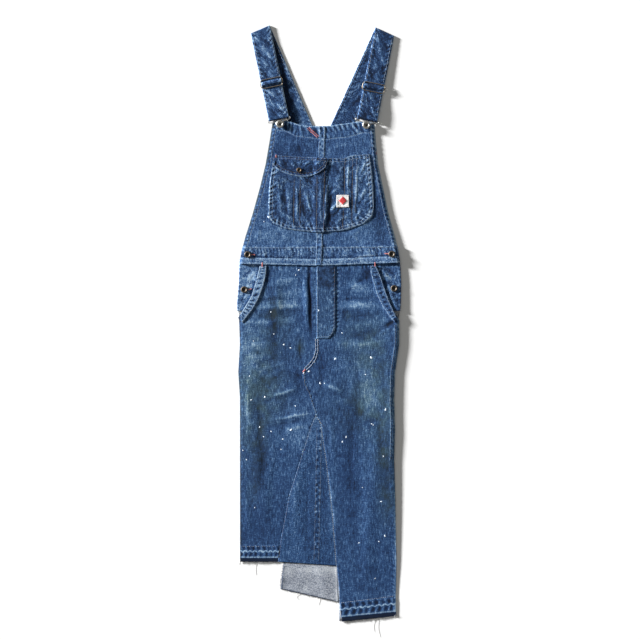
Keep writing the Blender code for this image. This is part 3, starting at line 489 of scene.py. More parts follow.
def newGroup(name, inputs, outputs):
    group = bpy.data.node_groups.new(name, "ShaderNodeTree")
    for way, sockets in (("INPUT", inputs), ("OUTPUT", outputs)):
        for label, kind, *value in sockets:
            socket = group.interface.new_socket(label, in_out=way, socket_type="NodeSocket" + kind)
            if value:
                socket.default_value = value[0]
    return group, group.nodes.new("NodeGroupInput").outputs, group.nodes.new("NodeGroupOutput")


def makeWeaveGroup():
    # twill lines, yarn, slubs along the warp and fine specks, all in the cloth's own metres
    group, given, end = newGroup(
        "denimWeave",
        (("Vector", "Vector"), ("Crease Vector", "Vector"), ("Slub", "Float", 1),
         ("Speck", "Float", 1), ("Crackle", "Float", 0)),
        (("Grain", "Float"), ("Height", "Float"), ("Roughness", "Float")))
    vector = given["Vector"]
    turned = addNode(group, "Mapping", {"Vector": vector, "Rotation": (0, 0, math.radians(-28))})
    twill = addNode(group, "TexWave", {
        "Vector": turned.outputs[0], "Scale": 300, "Distortion": 1.2, "Detail": 1,
        "Detail Scale": 2}).outputs["Fac"]
    yarn = addNode(group, "TexWave", {
        "Vector": vector, "Scale": 560, "Distortion": 1, "Detail": 1}).outputs["Fac"]
    streak = scaledNoise(vector, (460, 90, 1), 1, 3)
    slub = scaledNoise(vector, (230, 45, 1), 1, 2)
    speck = scaledNoise(vector, (1, 0.85, 1), 400, 3, 0.72)
    cross = scaledNoise(vector, (75, 460, 1), 1, 2)
    fine = scaledNoise(vector, (1, 0.7, 1), 1150, 2, 0.7)
    slubs = times(given["Slub"], plus(minus(streak, 0.5), times(minus(slub, 0.5), 1.1)))
    specks = times(given["Speck"],
        plus(times(minus(speck, 0.5), 1.6), times(minus(fine, 0.5), 1.1)))
    lines = plus(times(minus(cross, 0.5), 0.6), times(minus(twill, 0.5), 0.16))
    # crisp worn ridges with a dark side, in scattered patches
    bent = minus(scaledNoise(given["Crease Vector"], (1, 1, 1), 120, 3, 0.55), 0.5)
    bright, dark = (shareNode(mathNode("ABSOLUTE", minus(bent, centre)), 0.034, 0)
        for centre in (0.02, -0.035))
    patch = shareNode(scaledNoise(vector, (1, 1, 1), 40, 1), 0.38, 0.58)
    crackle = times(minus(bright, times(dark, 0.7)), times(patch, given["Crackle"]))
    grain = plus(plus(plus(slubs, specks), lines), times(crackle, 0.5))
    setSockets(end, {
        "Grain": plus(grain, 0.5),
        "Height": plus(plus(times(twill, 0.5), times(yarn, 0.25)), times(fine, 0.5)),
        "Roughness": plus(times(fine, 0.3), 0.68)})
    return group


def makeWearGroup():
    # colour of worn cloth from its fade and painted shade, its stain and painted shade, and its grain
    group, given, end = newGroup(
        "wornCloth",
        (("Grain", "Float", 0.5), ("Fade", "Float", 0), ("Stain", "Float", 0),
         ("Contrast", "Float", 0.6), ("Deep", "Color", (0.004, 0.01, 0.028, 1)),
         ("Dark", "Color", (0.008, 0.024, 0.072, 1)),
         ("Middle", "Color", (0.0195, 0.056, 0.155, 1)),
         ("Light", "Color", (0.071, 0.16, 0.32, 1)), ("Pale", "Color", (0.33, 0.46, 0.6, 1)),
         ("Soil", "Color", (0.056, 0.082, 0.052, 1))),
        (("Color", "Color"),))
    grain = times(minus(given["Grain"], 0.5), given["Contrast"])
    value = plus(plus(grain, 0.5), times(given["Fade"], 0.66))
    colour = given["Deep"]
    for low, high, label in ((0.02, 0.24, "Dark"), (0.24, 0.5, "Middle"), (0.5, 0.74, "Light"),
            (0.74, 1, "Pale")):
        colour = mixNode(group, shareNode(value, low, high), colour, given[label])
    yellowed = mixNode(group, 1, colour, (1.12, 1.08, 0.8, 1), "MULTIPLY")
    soiled = mixNode(group, 0.36, yellowed, given["Soil"])
    share = addNode(group, "Clamp", {"Value": times(given["Stain"], 0.95), "Max": 0.8})
    setSockets(end, {"Color": mixNode(group, share.outputs[0], colour, soiled)})
    return group


weaveGroup = makeWeaveGroup()
wearGroup = makeWearGroup()


def newMaterial(name):
    material = bpy.data.materials.new(name)
    material.use_nodes = True
    return material, material.node_tree, material.node_tree.nodes["Principled BSDF"]


def clothMaterial(name, slub=1, speck=1, contrast=0.6, bump=0.25, crackle=0, turn=100,
        drawn=1.5, colours=()):
    material, tree, shader = newMaterial(name)
    place = addNode(tree, "UVMap", uv_map="weave").outputs[0]
    # worn ridges are drawn out along one direction of the cloth
    drawing = addNode(tree, "Mapping", {
        "Vector": place, "Rotation": (0, 0, math.radians(turn)), "Scale": (drawn, 1, 1)},
        vector_type="TEXTURE")
    weave = addNode(tree, "Group", {
        "Vector": place, "Crease Vector": drawing.outputs[0], "Slub": slub, "Speck": speck,
        "Crackle": crackle}, node_tree=weaveGroup).outputs
    worn = {label: (*colour, 1) for label, colour in dict(colours).items()}
    for attribute, socket in (("fade", "Fade"), ("stainAndShade", "Stain")):
        worn[socket] = addNode(tree, "Attribute", attribute_name=attribute).outputs["Fac"]
    wear = addNode(tree, "Group", {"Grain": weave["Grain"], "Contrast": contrast, **worn},
        node_tree=wearGroup)
    setSockets(shader, {
        "Base Color": wear.outputs["Color"], "Roughness": weave["Roughness"],
        "Normal": reliefNode(weave["Height"], bump, 0.0004), "Sheen Weight": 0.03,
        "Sheen Roughness": 0.45, "Specular IOR Level": 0.14})
    return material


def grainMaterial(name, colour, other, scale, roughness, metallic=0, bump=0.2, spread=0.25):
    # thread, paint or metal: two colours mixed by a fine grain, with roughness and bump from it
    material, tree, shader = newMaterial(name)
    noise = noiseNode(addNode(tree, "TexCoord").outputs["Object"], scale, 4, 0.65)
    rough = addNode(tree, "MapRange", {
        "Value": noise, "To Min": roughness, "To Max": roughness + spread})
    setSockets(shader, {
        "Base Color": mixNode(tree, shareNode(noise, 0.35, 0.65), (*colour, 1), (*other, 1)),
        "Roughness": rough.outputs[0], "Normal": reliefNode(noise, bump, 0.0002),
        "Metallic": metallic})
    return material


paleSteps = {"Middle": (0.024, 0.066, 0.18), "Light": (0.085, 0.185, 0.36)}
denimFront = clothMaterial("denimFront", slub=0.9, speck=0.9, contrast=0.68, crackle=0.08)
denimBib = clothMaterial("denimBib", slub=0.8, speck=1, contrast=0.76, crackle=0.25,
    colours=paleSteps)
denimCreased = clothMaterial("denimCreased", slub=0.6, speck=1.1, contrast=0.86, crackle=0.9,
    colours=paleSteps)
denimStrap = clothMaterial("denimStrap", slub=0.5, speck=1.1, contrast=0.9, crackle=0.85, turn=56,
    drawn=3.6, colours={
        "Middle": (0.024, 0.068, 0.18), "Light": (0.09, 0.19, 0.37)})
denimGusset = clothMaterial("denimGusset", slub=0.8, speck=1.2, contrast=0.74, colours={
    "Middle": (0.021, 0.064, 0.175)})
denimBack = clothMaterial("denimBack", slub=0.5, speck=1, contrast=0.55)
denimReverse = clothMaterial("denimReverse", slub=0.25, speck=1.5, contrast=0.75, bump=0.5,
        colours={
    "Deep": (0.05, 0.065, 0.1), "Dark": (0.13, 0.15, 0.2), "Middle": (0.34, 0.37, 0.43),
    "Light": (0.5, 0.53, 0.58), "Pale": (0.7, 0.71, 0.72)})
wornRim = clothMaterial("wornRim", slub=0.5, speck=1.4, contrast=0.9, colours={
    "Dark": (0.06, 0.1, 0.18), "Middle": (0.16, 0.22, 0.33), "Light": (0.36, 0.43, 0.53)})
labelCloth = clothMaterial("labelCloth", slub=0.2, speck=0.5, contrast=0.25, bump=0.6, colours={
    "Dark": (0.6, 0.56, 0.54), "Middle": (0.78, 0.75, 0.74), "Light": (0.86, 0.84, 0.83),
    "Soil": (0.5, 0.42, 0.36)})
threadPale = grainMaterial("threadPale", (0.34, 0.41, 0.5), (0.18, 0.25, 0.36), 900, 0.75)
threadWhite = grainMaterial("threadWhite", (0.55, 0.58, 0.62), (0.3, 0.36, 0.45), 700, 0.8)
threadTan = grainMaterial("threadTan", (0.21, 0.19, 0.17), (0.1, 0.1, 0.13), 900, 0.75)
threadPink = grainMaterial("threadPink", (0.62, 0.2, 0.17), (0.42, 0.17, 0.18), 900, 0.75)
threadRed = grainMaterial("threadRed", (0.6, 0.04, 0.04), (0.45, 0.03, 0.04), 1200, 0.7)
threadDark = grainMaterial("threadDark", (0.03, 0.045, 0.09), (0.08, 0.1, 0.15), 900, 0.85)
fraySoft = grainMaterial("fraySoft", (0.62, 0.6, 0.56), (0.34, 0.34, 0.36), 500, 0.9)
paintWhite = grainMaterial("paintWhite", (0.78, 0.87, 0.97), (0.68, 0.77, 0.88), 900, 0.5)
antiqueMetal = grainMaterial("antiqueMetal", (0.17, 0.145, 0.12), (0.05, 0.042, 0.035), 500, 0.45,
    1)
slideMetal = grainMaterial("slideMetal", (0.42, 0.36, 0.28), (0.2, 0.17, 0.14), 500, 0.36, 1)
brightMetal = grainMaterial("brightMetal", (0.72, 0.71, 0.68), (0.48, 0.46, 0.42), 400, 0.2, 1,
    0.1)
print("materials made:", len(bpy.data.materials))


def nodeName(name):
    # the piece skirtBackLeft stands for the node skirt_back_left
    return "".join("_" + letter.lower() if letter.isupper() else letter for letter in name)


def addObject(name, data):
    made = bpy.data.objects.new(name, data)
    bpy.context.scene.collection.objects.link(made)
    return made


def makeMesh(name, shape, *materials):
    mesh = bpy.data.meshes.new(name)
    shape.to_mesh(mesh)
    shape.free()
    for material in materials:
        mesh.materials.append(material)
    return mesh


def addPiece(name, mesh, slot=None, node=None):
    # a piece with a slot replaces the node of its own name, or the one that is given
    piece = addObject(name, mesh)
    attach(piece, "root")
    if slot:
        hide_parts(node or nodeName(name))
    return piece


def addSmooth(name, shape, material):
    mesh = makeMesh(name, shape, material)
    mesh.shade_smooth()
    return addPiece(name, mesh)


def toMetres(shape):
    bmesh.ops.scale(shape, vec=(mm, mm, mm), verts=shape.verts)


def mergeShape(target, shape):
    # one run of small shapes, made in millimetres, goes into its piece's shape
    toMetres(shape)
    mesh = makeMesh("run", shape)
    target.from_mesh(mesh)
    bpy.data.meshes.remove(mesh)


def clothPiece(name, values, place):
    # a fine grid of cloth: place(s, t) gives x, y, z, fade with painted light and shade, and
    # stain with painted shade for s and t from 0 to 1, and may add the weave's own u and v
    columns, rows = (round(values[side] / values["spacing"]) for side in ("width", "length"))
    shape = bmesh.new()
    bmesh.ops.create_grid(shape, x_segments=columns, y_segments=rows, size=0.5)
    cloths = values.get("materials") or (values["cloth"], denimReverse, wornRim)
    mesh = makeMesh(name, shape, *cloths)
    spots = np.empty(len(mesh.vertices) * 3)
    mesh.vertices.foreach_get("co", spots)
    spots = spots.reshape(-1, 3)
    # a piece may ask for closer rows where its detail is
    along = np.interp(0.5 - spots[:, 1], *values.get("rows", ((0, 1), (0, 1))))
    x, y, z, fade, stainAndShade, *weave = place(spots[:, 0] + 0.5, along)
    mesh.vertices.foreach_set("co", (np.stack((x, y, z), 1) * mm).ravel())
    for label, field in (("fade", fade), ("stainAndShade", stainAndShade)):
        attribute = mesh.attributes.new(label, "FLOAT", "POINT")
        attribute.data.foreach_set("value", np.broadcast_to(field, x.shape).astype(np.float32))
    corners = np.empty(len(mesh.loops), int)
    mesh.loops.foreach_get("vertex_index", corners)
    u, v = weave if weave else (x, y)
    layer = mesh.uv_layers.new(name="weave")
    layer.data.foreach_set("uv", (np.stack((u, v), 1)[corners] * mm).ravel())
    mesh.shade_smooth()
    if values.get("crisp"):
        # its outer edges stay crisp instead of shading round
        used = np.empty(len(mesh.loops), int)
        mesh.loops.foreach_get("edge_index", used)
        mesh.edges.foreach_set("use_edge_sharp", np.bincount(used) == 1)
    piece = addPiece(name, mesh, values.get("slot", "denim_front"), values.get("node"))
    wall = piece.modifiers.new("wall", "SOLIDIFY")
    wall.thickness = values.get("thickness", layout["wall"]) * mm
    wall.offset = values.get("offset", 1)
    wall.material_offset, wall.material_offset_rim = 1, 2


def sideWarp(s, amount=0.07):
    # columns lie closer together near both sides
    return s - amount * np.sin(2 * math.pi * s)


def panelPlace(top, foot, leftEdge, rightEdge, surface):
    # a panel between two side edges, from a level top down to a foot given at its left and right
    def place(s, t):
        across = sideWarp(s)
        yLeft, yRight = blend(top, foot[0], t), blend(top, foot[1], t)
        left, right = leftEdge(yLeft), rightEdge(yRight)
        x = blend(left, right, across)
        y = blend(yLeft, yRight, across)
        return (x, y, *surface(x, y))
    return place


def seamBefore(table):
    return lambda y: tableAt(table, y) - layout["seamGap"] / 2


def seamAfter(table):
    return lambda y: tableAt(table, y) + layout["seamGap"] / 2


backValues = {
        "inset": 1.5,
        "seamX": -1,
        "bib": ((410, -26, 38), (360, -50, 62), (300, -82, 92), (235, -122, 132), (166, -168, 174)),
        "gusset": ((-221, -4, 2), (-335, -46, 19), (-453, -80, 33), (-574, -84, 44),
        (-606, -88, 46), (-638, -91, 48), (-670, -91, 48)),
        "gussetTop": -221,
        # its foot runs down from the left by the drop over the span
        "gussetFoot": -638,
        "gussetLeft": -91,
        "gussetSpan": 139,
        "gussetDrop": 32,
}


def backSurface(x, y):
    # lies on the ground; its reverse faces up
    fade = 0.12 * mottle(x, y, 24, 80)
    return np.maximum(rightRise(x, y), 0), fade, 0.2 + 0.2 * mottle(x, y, 60, 81)


def backInner(column, side):
    def edge(y):
        seam = tableAt(backValues["gusset"], y, column) + side * layout["seamGap"]
        top = backValues["seamX"] + side * layout["seamGap"] / 2
        return np.where(y > backValues["gussetTop"], top, seam)
    return edge


backCloth = {"spacing": 6, "slot": "denim_back", "materials": (denimReverse, denimBack, wornRim)}
clothPiece("skirtBackLeft", {
    **backCloth, "width": 190, "length": 733, "flat": (0.19, 0.735), "area": 0.119},
    panelPlace(layout["panelTop"], (-571, -571), lambda y: outlineLeft(y) + backValues["inset"],
        backInner(1, -1), backSurface))
clothPiece("skirtBackRight", {
    **backCloth, "width": 190, "length": 860, "flat": (0.192, 0.87), "area": 0.147},
    panelPlace(layout["panelTop"], (-714.5, -697.5), backInner(2, 1),
        lambda y: outlineRight(y) - backValues["inset"], backSurface))


def gussetBackSurface(x, y):
    # the longer back gusset shows its reverse below the front; its raw left edge curls a little
    left = tableAt(backValues["gusset"], y, 1)
    share = np.clip((x - backValues["gussetLeft"]) / backValues["gussetSpan"], 0, 1)
    foot = backValues["gussetFoot"] - backValues["gussetDrop"] * share
    low = np.minimum(x - left, y - foot)
    curl = 0.9 * bell(np.maximum(low, 0) / 7) * (0.6 + 0.4 * mottle(x, y, 14, 82))
    fold = 0.5 * bell((x - 8) / 16) + 0.25 * (1 + mottle(x, y, 18, 83))
    shown = smoothStep((-575 - y) / 12)
    fade = 0.1 * mottle(x, y, 14, 84) + 0.1 * mottle(x, y, 5, 85) - 0.08
    fade += 0.16 * np.sin(2 * math.pi * (y + 0.55 * x) / 9.5) * mottle(x, y, 11, 86)
    fade += 0.2 * bell((y + 592) / 9) - 0.1 * bell((y + 618) / 12)
    fade -= 1.3 * bell(np.maximum(x - left, 0) / (2.6 + 1.2 * wobble(y / 4, 87)))
    fade -= 1.1 * bell(np.maximum(y - foot, 0) / 2)
    fade += 0.4 * bell((x - tableAt(backValues["gusset"], y, 2) + 4) / 2.5)
    return shown * (curl + fold) + 0.02, fade, 0.05 + 0 * x


def gussetBackPlace(s, t):
    y = blend(backValues["gussetTop"], backValues["gussetFoot"], t)
    x = blend(tableAt(backValues["gusset"], y, 1), tableAt(backValues["gusset"], y, 2), s)
    y = y - backValues["gussetDrop"] * s * smoothStep((t - 0.8) / 0.2)
    return (x, y, *gussetBackSurface(x, y))


clothPiece("gussetBack", {
    **backCloth, "width": 139, "length": 430, "spacing": 2.6, "slot": "denim_reverse",
    "flat": (0.139, 0.449), "area": 0.0405}, gussetBackPlace)
clothPiece("bibBack", {
    **backCloth, "width": 340, "length": 244, "flat": (0.342, 0.244), "area": 0.048},
    panelPlace(410, (166, 166), lambda y: tableAt(backValues["bib"], y, 1),
        lambda y: tableAt(backValues["bib"], y, 2), backSurface))
print("back made")


leftHem = {"x": (-189, -98), "foot": (-572.5, -572.5), "line": 11, "zigzag": 25, "dashes": 39.6,
    "period": 12, "seed": 31}
rightHem = {"x": (56, 187), "foot": (-716, -703), "line": 12.6, "zigzag": 30, "dashes": 45,
    "period": 15.4, "seed": 33}


def hemField(hem, x, y):
    # a let-down hem: a raw dark strip, a pale line, and two rows of ovals split by a zigzag
    share = (x - hem["x"][0]) / (hem["x"][1] - hem["x"][0])
    up = y - blend(hem["foot"][0], hem["foot"][1], share)
    phase = x / hem["period"] + 0.16 * wobble(x / 31, hem["seed"])
    zigzag = hem["zigzag"] + 1.9 * np.sin(2 * math.pi * phase)
    height = np.zeros_like(x)
    tint = np.zeros_like(x)
    for low, high, shift in ((hem["line"], hem["zigzag"], 0), (hem["zigzag"], hem["dashes"], 0.5)):
        centre, half = (low + high) / 2, (high - low) / 2
        turn = 0.28 if shift else -0.28
        place = (phase + shift + turn * (up - centre) / hem["period"]) % 1 - 0.5
        oval = np.exp(-(np.abs(place) / 0.32) ** 3 - np.abs((up - centre) / (half - 0.9)) ** 3)
        tint -= (0.8 + 0.3 * wobble(x / 9, hem["seed"] + 1)) * oval
        height -= 0.35 * oval
    band = smoothStep((hem["dashes"] - up) / 2.5) * smoothStep((up - hem["line"] + 1) / 2)
    tint += 0.24 * band
    tint += 0.85 * bell((up - zigzag) / 1.6)
    tint += 0.85 * bell((up - hem["line"]) / 1.3)
    tint += 0.5 * bell((up - hem["dashes"]) / 1.4) * (0.5 + 0.5 * np.sin(x * 1.4))
    tint -= 1 * smoothStep((hem["line"] - 2 - up) / 1.5)
    height += 0.5 * band + 0.3 * bell((up - zigzag) / 2.2)
    near = smoothStep((hem["dashes"] + 4 - up) / 3)
    return height * near, tint * near


def frontSurface(hem=None):
    def surface(x, y):
        roll = edgeRoll(x, y)[0]
        relief, fade, stainAndShade = frontLookAt(x, y)
        if hem:
            height, tint = hemField(hem, x, y)
            relief, fade = relief + height, fade + tint
        return frontUnder(x, y) + relief * (0.35 + 0.65 * roll), fade, stainAndShade
    return surface


def leftFrontEdge(y):
    return np.where(y > 15, tableAt(seams["leftMouth"], y), outlineLeft(y))


def rightFrontEdge(y):
    return np.where(y > 8, tableAt(seams["rightMouth"], y), outlineRight(y))


def skirtInner(side, gussetTable):
    upper = seamBefore(seams["centre"]) if side < 0 else seamAfter(seams["centre"])
    lower = seamBefore(gussetTable) if side < 0 else seamAfter(gussetTable)
    return lambda y: np.where(y >= -220, upper(y), lower(y))


clothPiece("skirtFrontLeft", {
    "width": 190, "length": 734, "spacing": 2.2, "cloth": denimFront,
    "rows": ((0, 0.87, 1), (0, 0.94, 1)),
    "flat": (0.19, 0.735), "area": 0.109, "restsOn": ("skirt_back_left",)},
    panelPlace(layout["panelTop"], (-572.5, -572.5), leftFrontEdge,
        skirtInner(-1, seams["gussetLeft"]), frontSurface(leftHem)))
clothPiece("skirtFrontRight", {
    "width": 186, "length": 870, "spacing": 2.2, "cloth": denimFront,
    "rows": ((0, 0.88, 1), (0, 0.943, 1)),
    "flat": (0.22, 0.878), "area": 0.148, "restsOn": ("skirt_back_right",)},
    panelPlace(layout["panelTop"], (-716, -703), skirtInner(1, seams["gussetRight"]),
        rightFrontEdge, frontSurface(rightHem)))
clothPiece("gussetFrontLeft", {
    "width": 92, "length": 352, "spacing": 2.4, "slot": "denim_gusset", "cloth": denimGusset,
    "flat": (0.092, 0.355), "area": 0.0216, "restsOn": ("gusset_back",)},
    panelPlace(-224, (-573, -579), seamAfter(seams["gussetLeft"]),
        lambda y: np.where(y > -236, tableAt(seams["gussetRight"], y),
        tableAt(seams["gussetCentre"], y)) - layout["seamGap"] / 2,
        frontSurface()))
clothPiece("gussetFrontRight", {
    "width": 49, "length": 343, "spacing": 2.4, "slot": "denim_gusset", "cloth": denimGusset,
    "flat": (0.049, 0.343), "area": 0.0105, "restsOn": ("gusset_back",)},
    panelPlace(-240, (-579, -583), seamAfter(seams["gussetCentre"]),
        seamBefore(seams["gussetRight"]), frontSurface()))


def stripClimb(y):
    # the bib's strip lies on the waistband at its foot
    return smoothStep((192 - y) / 6) * (layout["doubleWall"] + layout["stackGap"] + 0.4)


def stripPlace(table, span, width, ropes, base, edge):
    # a felled seam's strip down a seam line, its edges puckered by the double stitching
    half = width / 2
    path = sidePath(table, min(span), max(span))

    def place(s, t):
        y = blend(span[0], span[1], t)
        x = tableAt(table, y) + width * (s - 0.5)
        height, tint = puckerField([(path, *rope) for rope in ropes], x, y)
        relief, fade, stainAndShade = frontLookAt(x, y)
        across = np.abs(s - 0.5) * 2
        tint = tint + edge * bell((1 - across) / 0.16) + base
        tint += 0.12 * mottle(x, y, 7, 90) + 0.1 * mottle(x, y, 3.5, 91)
        climb = stripClimb(y) if table is seams["bib"] else 0
        height = 0.06 + 0.2 * np.cos(across * math.pi / 2) + np.maximum(height, -0.05)
        height = height * (1 if table is seams["bib"] else 0.35)
        return x, y, plainTop(x, y) + relief + climb + height, fade + tint, stainAndShade
    return place


clothPiece("gussetCentreStrip", {
    "width": 15, "length": 321, "spacing": 1.5, "slot": "denim_gusset",
    "materials": (denimGusset, denimReverse, denimGusset), "flat": (0.0146, 0.321),
    "restsOn": ("gusset_front_left",), "thickness": 0.1, "crisp": True},
    stripPlace(seams["gussetCentre"], (-250, -571), layout["stripWidth"],
        ((-3.2, 17, 2.8, 0.25, 0.14, 0.5, 21), (3.2, 14, 2.8, -0.25, 0.14, 0.5, 27),
        (0, 7, 6.5, 0.1, 0.06, 0.16, 25)), -0.04, 0.04))
print("skirt made")


def bibPlace(side):
    def place(s, t):
        y = blend(480, 162.3, t)
        seam = tableAt(seams["bib"], y)
        left = outlineLeft(y) if side < 0 else seam + layout["seamGap"] / 2
        right = seam - layout["seamGap"] / 2 if side < 0 else outlineRight(y)
        x = blend(left, right, sideWarp(s))
        topY = np.interp(x, [row[0] for row in seams["bibTop"]],
            [row[1] for row in seams["bibTop"]])
        y = y + (topY - 480) * (1 - t) ** 3
        return (x, y, *frontSurface()(x, y))
    return place


for side, name, area in ((-1, "bibFrontLeft", 0.0483), (1, "bibFrontRight", 0.0495)):
    clothPiece(name, {
        "width": 150, "length": 318, "spacing": 1.75, "rows": ((0, 0.17, 1), (0, 0.115, 1)),
        "slot": "denim_bib", "cloth": denimBib, "flat": (0.19, 0.325), "area": area,
        "restsOn": ("bib_back",)}, bibPlace(side))
clothPiece("bibCentreStrip", {
    "width": 15, "length": 332, "spacing": 1.35, "slot": "denim_bib",
    "materials": (denimBib, denimReverse, denimBib), "flat": (0.0146, 0.3315),
    "restsOn": ("bib_front_left",), "thickness": 0.35, "crisp": True},
    stripPlace(seams["bib"], (471.5, 140), layout["stripWidth"],
        ((-3.2, 11, 3.2, 0.4, 0.28, 0.3, 41), (3.2, 11, 3.2, -0.4, 0.28, 0.3, 43)),
        0.14, 0.42))

pocketOutline = [(-111, 397), (-114.5, 365.5), (-118, 335.5), (-119.5, 291.5), (-120.5, 257.5),
    (-111, 242.5), (-79, 226.5), (-42, 221.5), (7, 219), (56, 222.5), (105, 237.5),
    (127.5, 257.5), (133, 277), (131, 316), (126.5, 365.5), (122, 406.5)]
pocketSections = (
    (-109.5, 387, -122, 250), (-105, 387, -117, 241), (-94, 387, -102, 233),
    (-80, 387, -84, 228), (-63, 387, -63, 225), (-48, 387, -46, 222.5), (-30, 387, -31, 221),
    (-15, 387, -19, 219.5), (-3.5, 387, -8.5, 218.5), (16, 387, 12, 218.5), (22.5, 387, 18, 219),
    (25, 396, 25, 219.5), (44, 395, 41, 221.5), (61, 394.5, 58, 223), (68.5, 401, 72, 226),
    (82, 404, 86, 231), (92, 404.5, 98, 235.5), (103, 405.5, 111, 242), (113, 406, 122, 248.5),
    (121, 406.5, 131, 258))
flapSections = (
    (-106, 404, -111, 384), (-101, 403.5, -104, 372), (-90, 403, -91, 364.5),
    (-74, 402, -72, 357.5), (-57, 401, -55, 353.5), (-42, 400, -41, 351.5),
    (-28, 399.3, -26, 352.5), (-15, 398.5, -15.7, 354.5), (-3.5, 398, -4.5, 359.5),
    (10, 397.5, 7, 366), (17, 397, 15, 373), (22, 396.7, 22, 389))
pocketLook = {
        "creases": (
        (-59.5, 344, -60.5, 229, 2.6, -0.5, -0.4), (-44, 344, -45, 229, 2.6, -0.5, -0.36),
        (-52, 344, -53, 229, 2.2, 0.6, 0.3), (-5.5, 353.5, -6.5, 221.5, 2.4, -0.5, -0.34),
        (15, 392, 12.5, 221.5, 2.6, -0.6, -0.36), (5, 373, 3, 221.5, 3, 0.6, 0.26),
        (62, 401.5, 60.5, 301, 2.4, -0.5, -0.4), (71.5, 401.5, 69, 301, 2.2, 0.7, 0.46),
        (81, 401.5, 78.5, 224, 2.6, -0.6, -0.52), (93, 397, 88, 262.5, 2.4, 0.8, 0.42),
        (59.5, 277, 56, 224, 2.6, -0.5, -0.44), (22, 344, 11.5, 219, 3.4, 1.1, 0.5),
        (32, 339, 24.5, 224, 3.6, -0.8, -0.44), (-35.5, 325, -16, 257.5, 3.4, 0.9, 0.4),
        (-45, 315, -28, 243, 3.4, -0.6, -0.38), (-23.5, 329.5, -9, 291, 3, 0.5, 0.28),
        (22, 262.5, 51, 298.5, 3, 0.8, 0.42), (29.5, 250.5, 63, 289, 3, -0.6, -0.36),
        (36.5, 238.5, 75, 262.5, 3, 0.5, 0.34), (24.5, 305.5, 46, 325, 3, 0.5, 0.34),
        (41.5, 353.5, 56, 310.5, 4, 0.6, 0.2), (36.5, 382.5, 51, 353.5, 4, -0.5, -0.26),
        (22, 377.5, 41.5, 389.5, 3, 0.4, 0.22), (84.5, 243, 104, 277, 3, 0.7, 0.38),
        (92, 281.5, 113.5, 305.5, 3, -0.5, -0.34), (96.5, 296, 116, 329.5, 3.2, 0.6, 0.36),
        (101.5, 329.5, 116, 363, 3, -0.5, -0.3), (96.5, 353.5, 113.5, 392, 3, 0.6, 0.4),
        (84.5, 298.5, 96.5, 243, 3, -0.5, -0.32), (-100, 349, -90.5, 257.5, 4, 0.6, 0.2),
        (-86, 344, -76, 243, 3.6, -0.6, -0.34), (-74, 334.5, -71.5, 233.5, 4, 0.5, 0.2),
        (-95.5, 305.5, -69, 281.5, 3, -0.4, -0.22), (-95.5, 272, -64, 248, 3, 0.5, 0.26),
        (-40, 257.5, -14, 229, 3, 0.4, 0.22), (-30.5, 233.5, -11.5, 272, 3, -0.4, -0.24),
        (-83.5, 358.5, -62, 329.5, 3, -0.4, -0.24), (-38, 349, -11.5, 334.5, 3, -0.5, -0.4)),
        "ropes": (
        (pocketOutline, 5.5, 10.5, 5.5, 0.45, 0.3, 0.95, 51),
        (pocketOutline, 12, 15, 6, 0.6, 0.3, 0.36, 52),
        ([(20, 398), (60.5, 397), (80, 404), (120.5, 407.5)], -7, 11, 6, 0.3, 0.4, 0.42, 54)),
        "lines": (
        (pocketOutline, 0.9, 1.7, 0.1, 0.7), (pocketOutline, 9, 1.5, -0.3, 0.2),
        ([(20, 398), (60.5, 397), (80, 404), (120.5, 407.5)], -1, 1.6, 0.1, 0.5)),
}


def sectionAt(sections, s):
    table = np.array(sections, float)
    place = np.clip(s, 0, 1) * (len(sections) - 1)
    return [np.interp(place, np.arange(len(sections)), table[:, column]) for column in range(4)]


def stripRise(x, y):
    distance = np.abs(x - tableAt(seams["bib"], y))
    share = (layout["liftFar"] - distance) / (layout["liftFar"] - layout["liftNear"])
    return (layout["wall"] + layout["stackGap"]) * np.clip(share, 0, 1)


def pocketUnder(x, y):
    return plainTop(x, y) + layout["stackGap"] + stripRise(x, y)


def lookAt(look, x, y, rise=1, shade=1):
    # height and tint of a piece's own creases, roping and lines; rise and shade are the creases'
    height, tint = creaseField(look["creases"], x, y, 0.4)
    ropeHeight, ropeTint = puckerField(look["ropes"], x, y)
    lineHeight, lineTint = lineField(look["lines"], x, y)
    return rise * height + ropeHeight + lineHeight, shade * tint + ropeTint + lineTint


def pocketRelief(x, y):
    height, tint = lookAt(pocketLook, x, y, 0.9, 1.6)
    puff = 0.5 + 0.25 * mottle(x, y, 24, 60) + 0.12 * mottle(x, y, 11, 61)
    worn = longWisps(x, y, 9, 68, 160) + 0.8 * longWisps(x, y, 8, 115, 260)
    fade = tint + 0.12 * mottle(x, y, 15, 62)
    fade = fade + 0.1 * mottle(x, y, 5, 63) + 0.3 * worn - 0.22
    fade = fade + 0.12 * smoothStep((x - 50) / 30) - 0.12 * bell((x - 2) / 30)
    return np.maximum(height + puff + 0.3 * worn, -0.1), fade


def pocketPlace(s, t):
    topX, topY, footX, footY = sectionAt(pocketSections, s)
    x = blend(topX, footX, t) + 4 * (2 * s - 1) * np.sin(math.pi * t)
    y = blend(topY, footY, t)
    relief, fade = pocketRelief(x, y)
    border = smoothStep(np.minimum(np.minimum(s, 1 - s) * 240, (1 - t) * 165) / 6)
    return x, y, pocketUnder(x, y) + relief * border, fade, 0 * x + 0.05


clothPiece("bibPocket", {
    "width": 240, "length": 170, "spacing": 1.4, "slot": "denim_bib", "cloth": denimCreased,
    "thickness": layout["pocketWall"], "crisp": True,
    "flat": (0.25, 0.188), "area": 0.0417, "restsOn": ("bib_front_left", "bib_front_right")},
    pocketPlace)

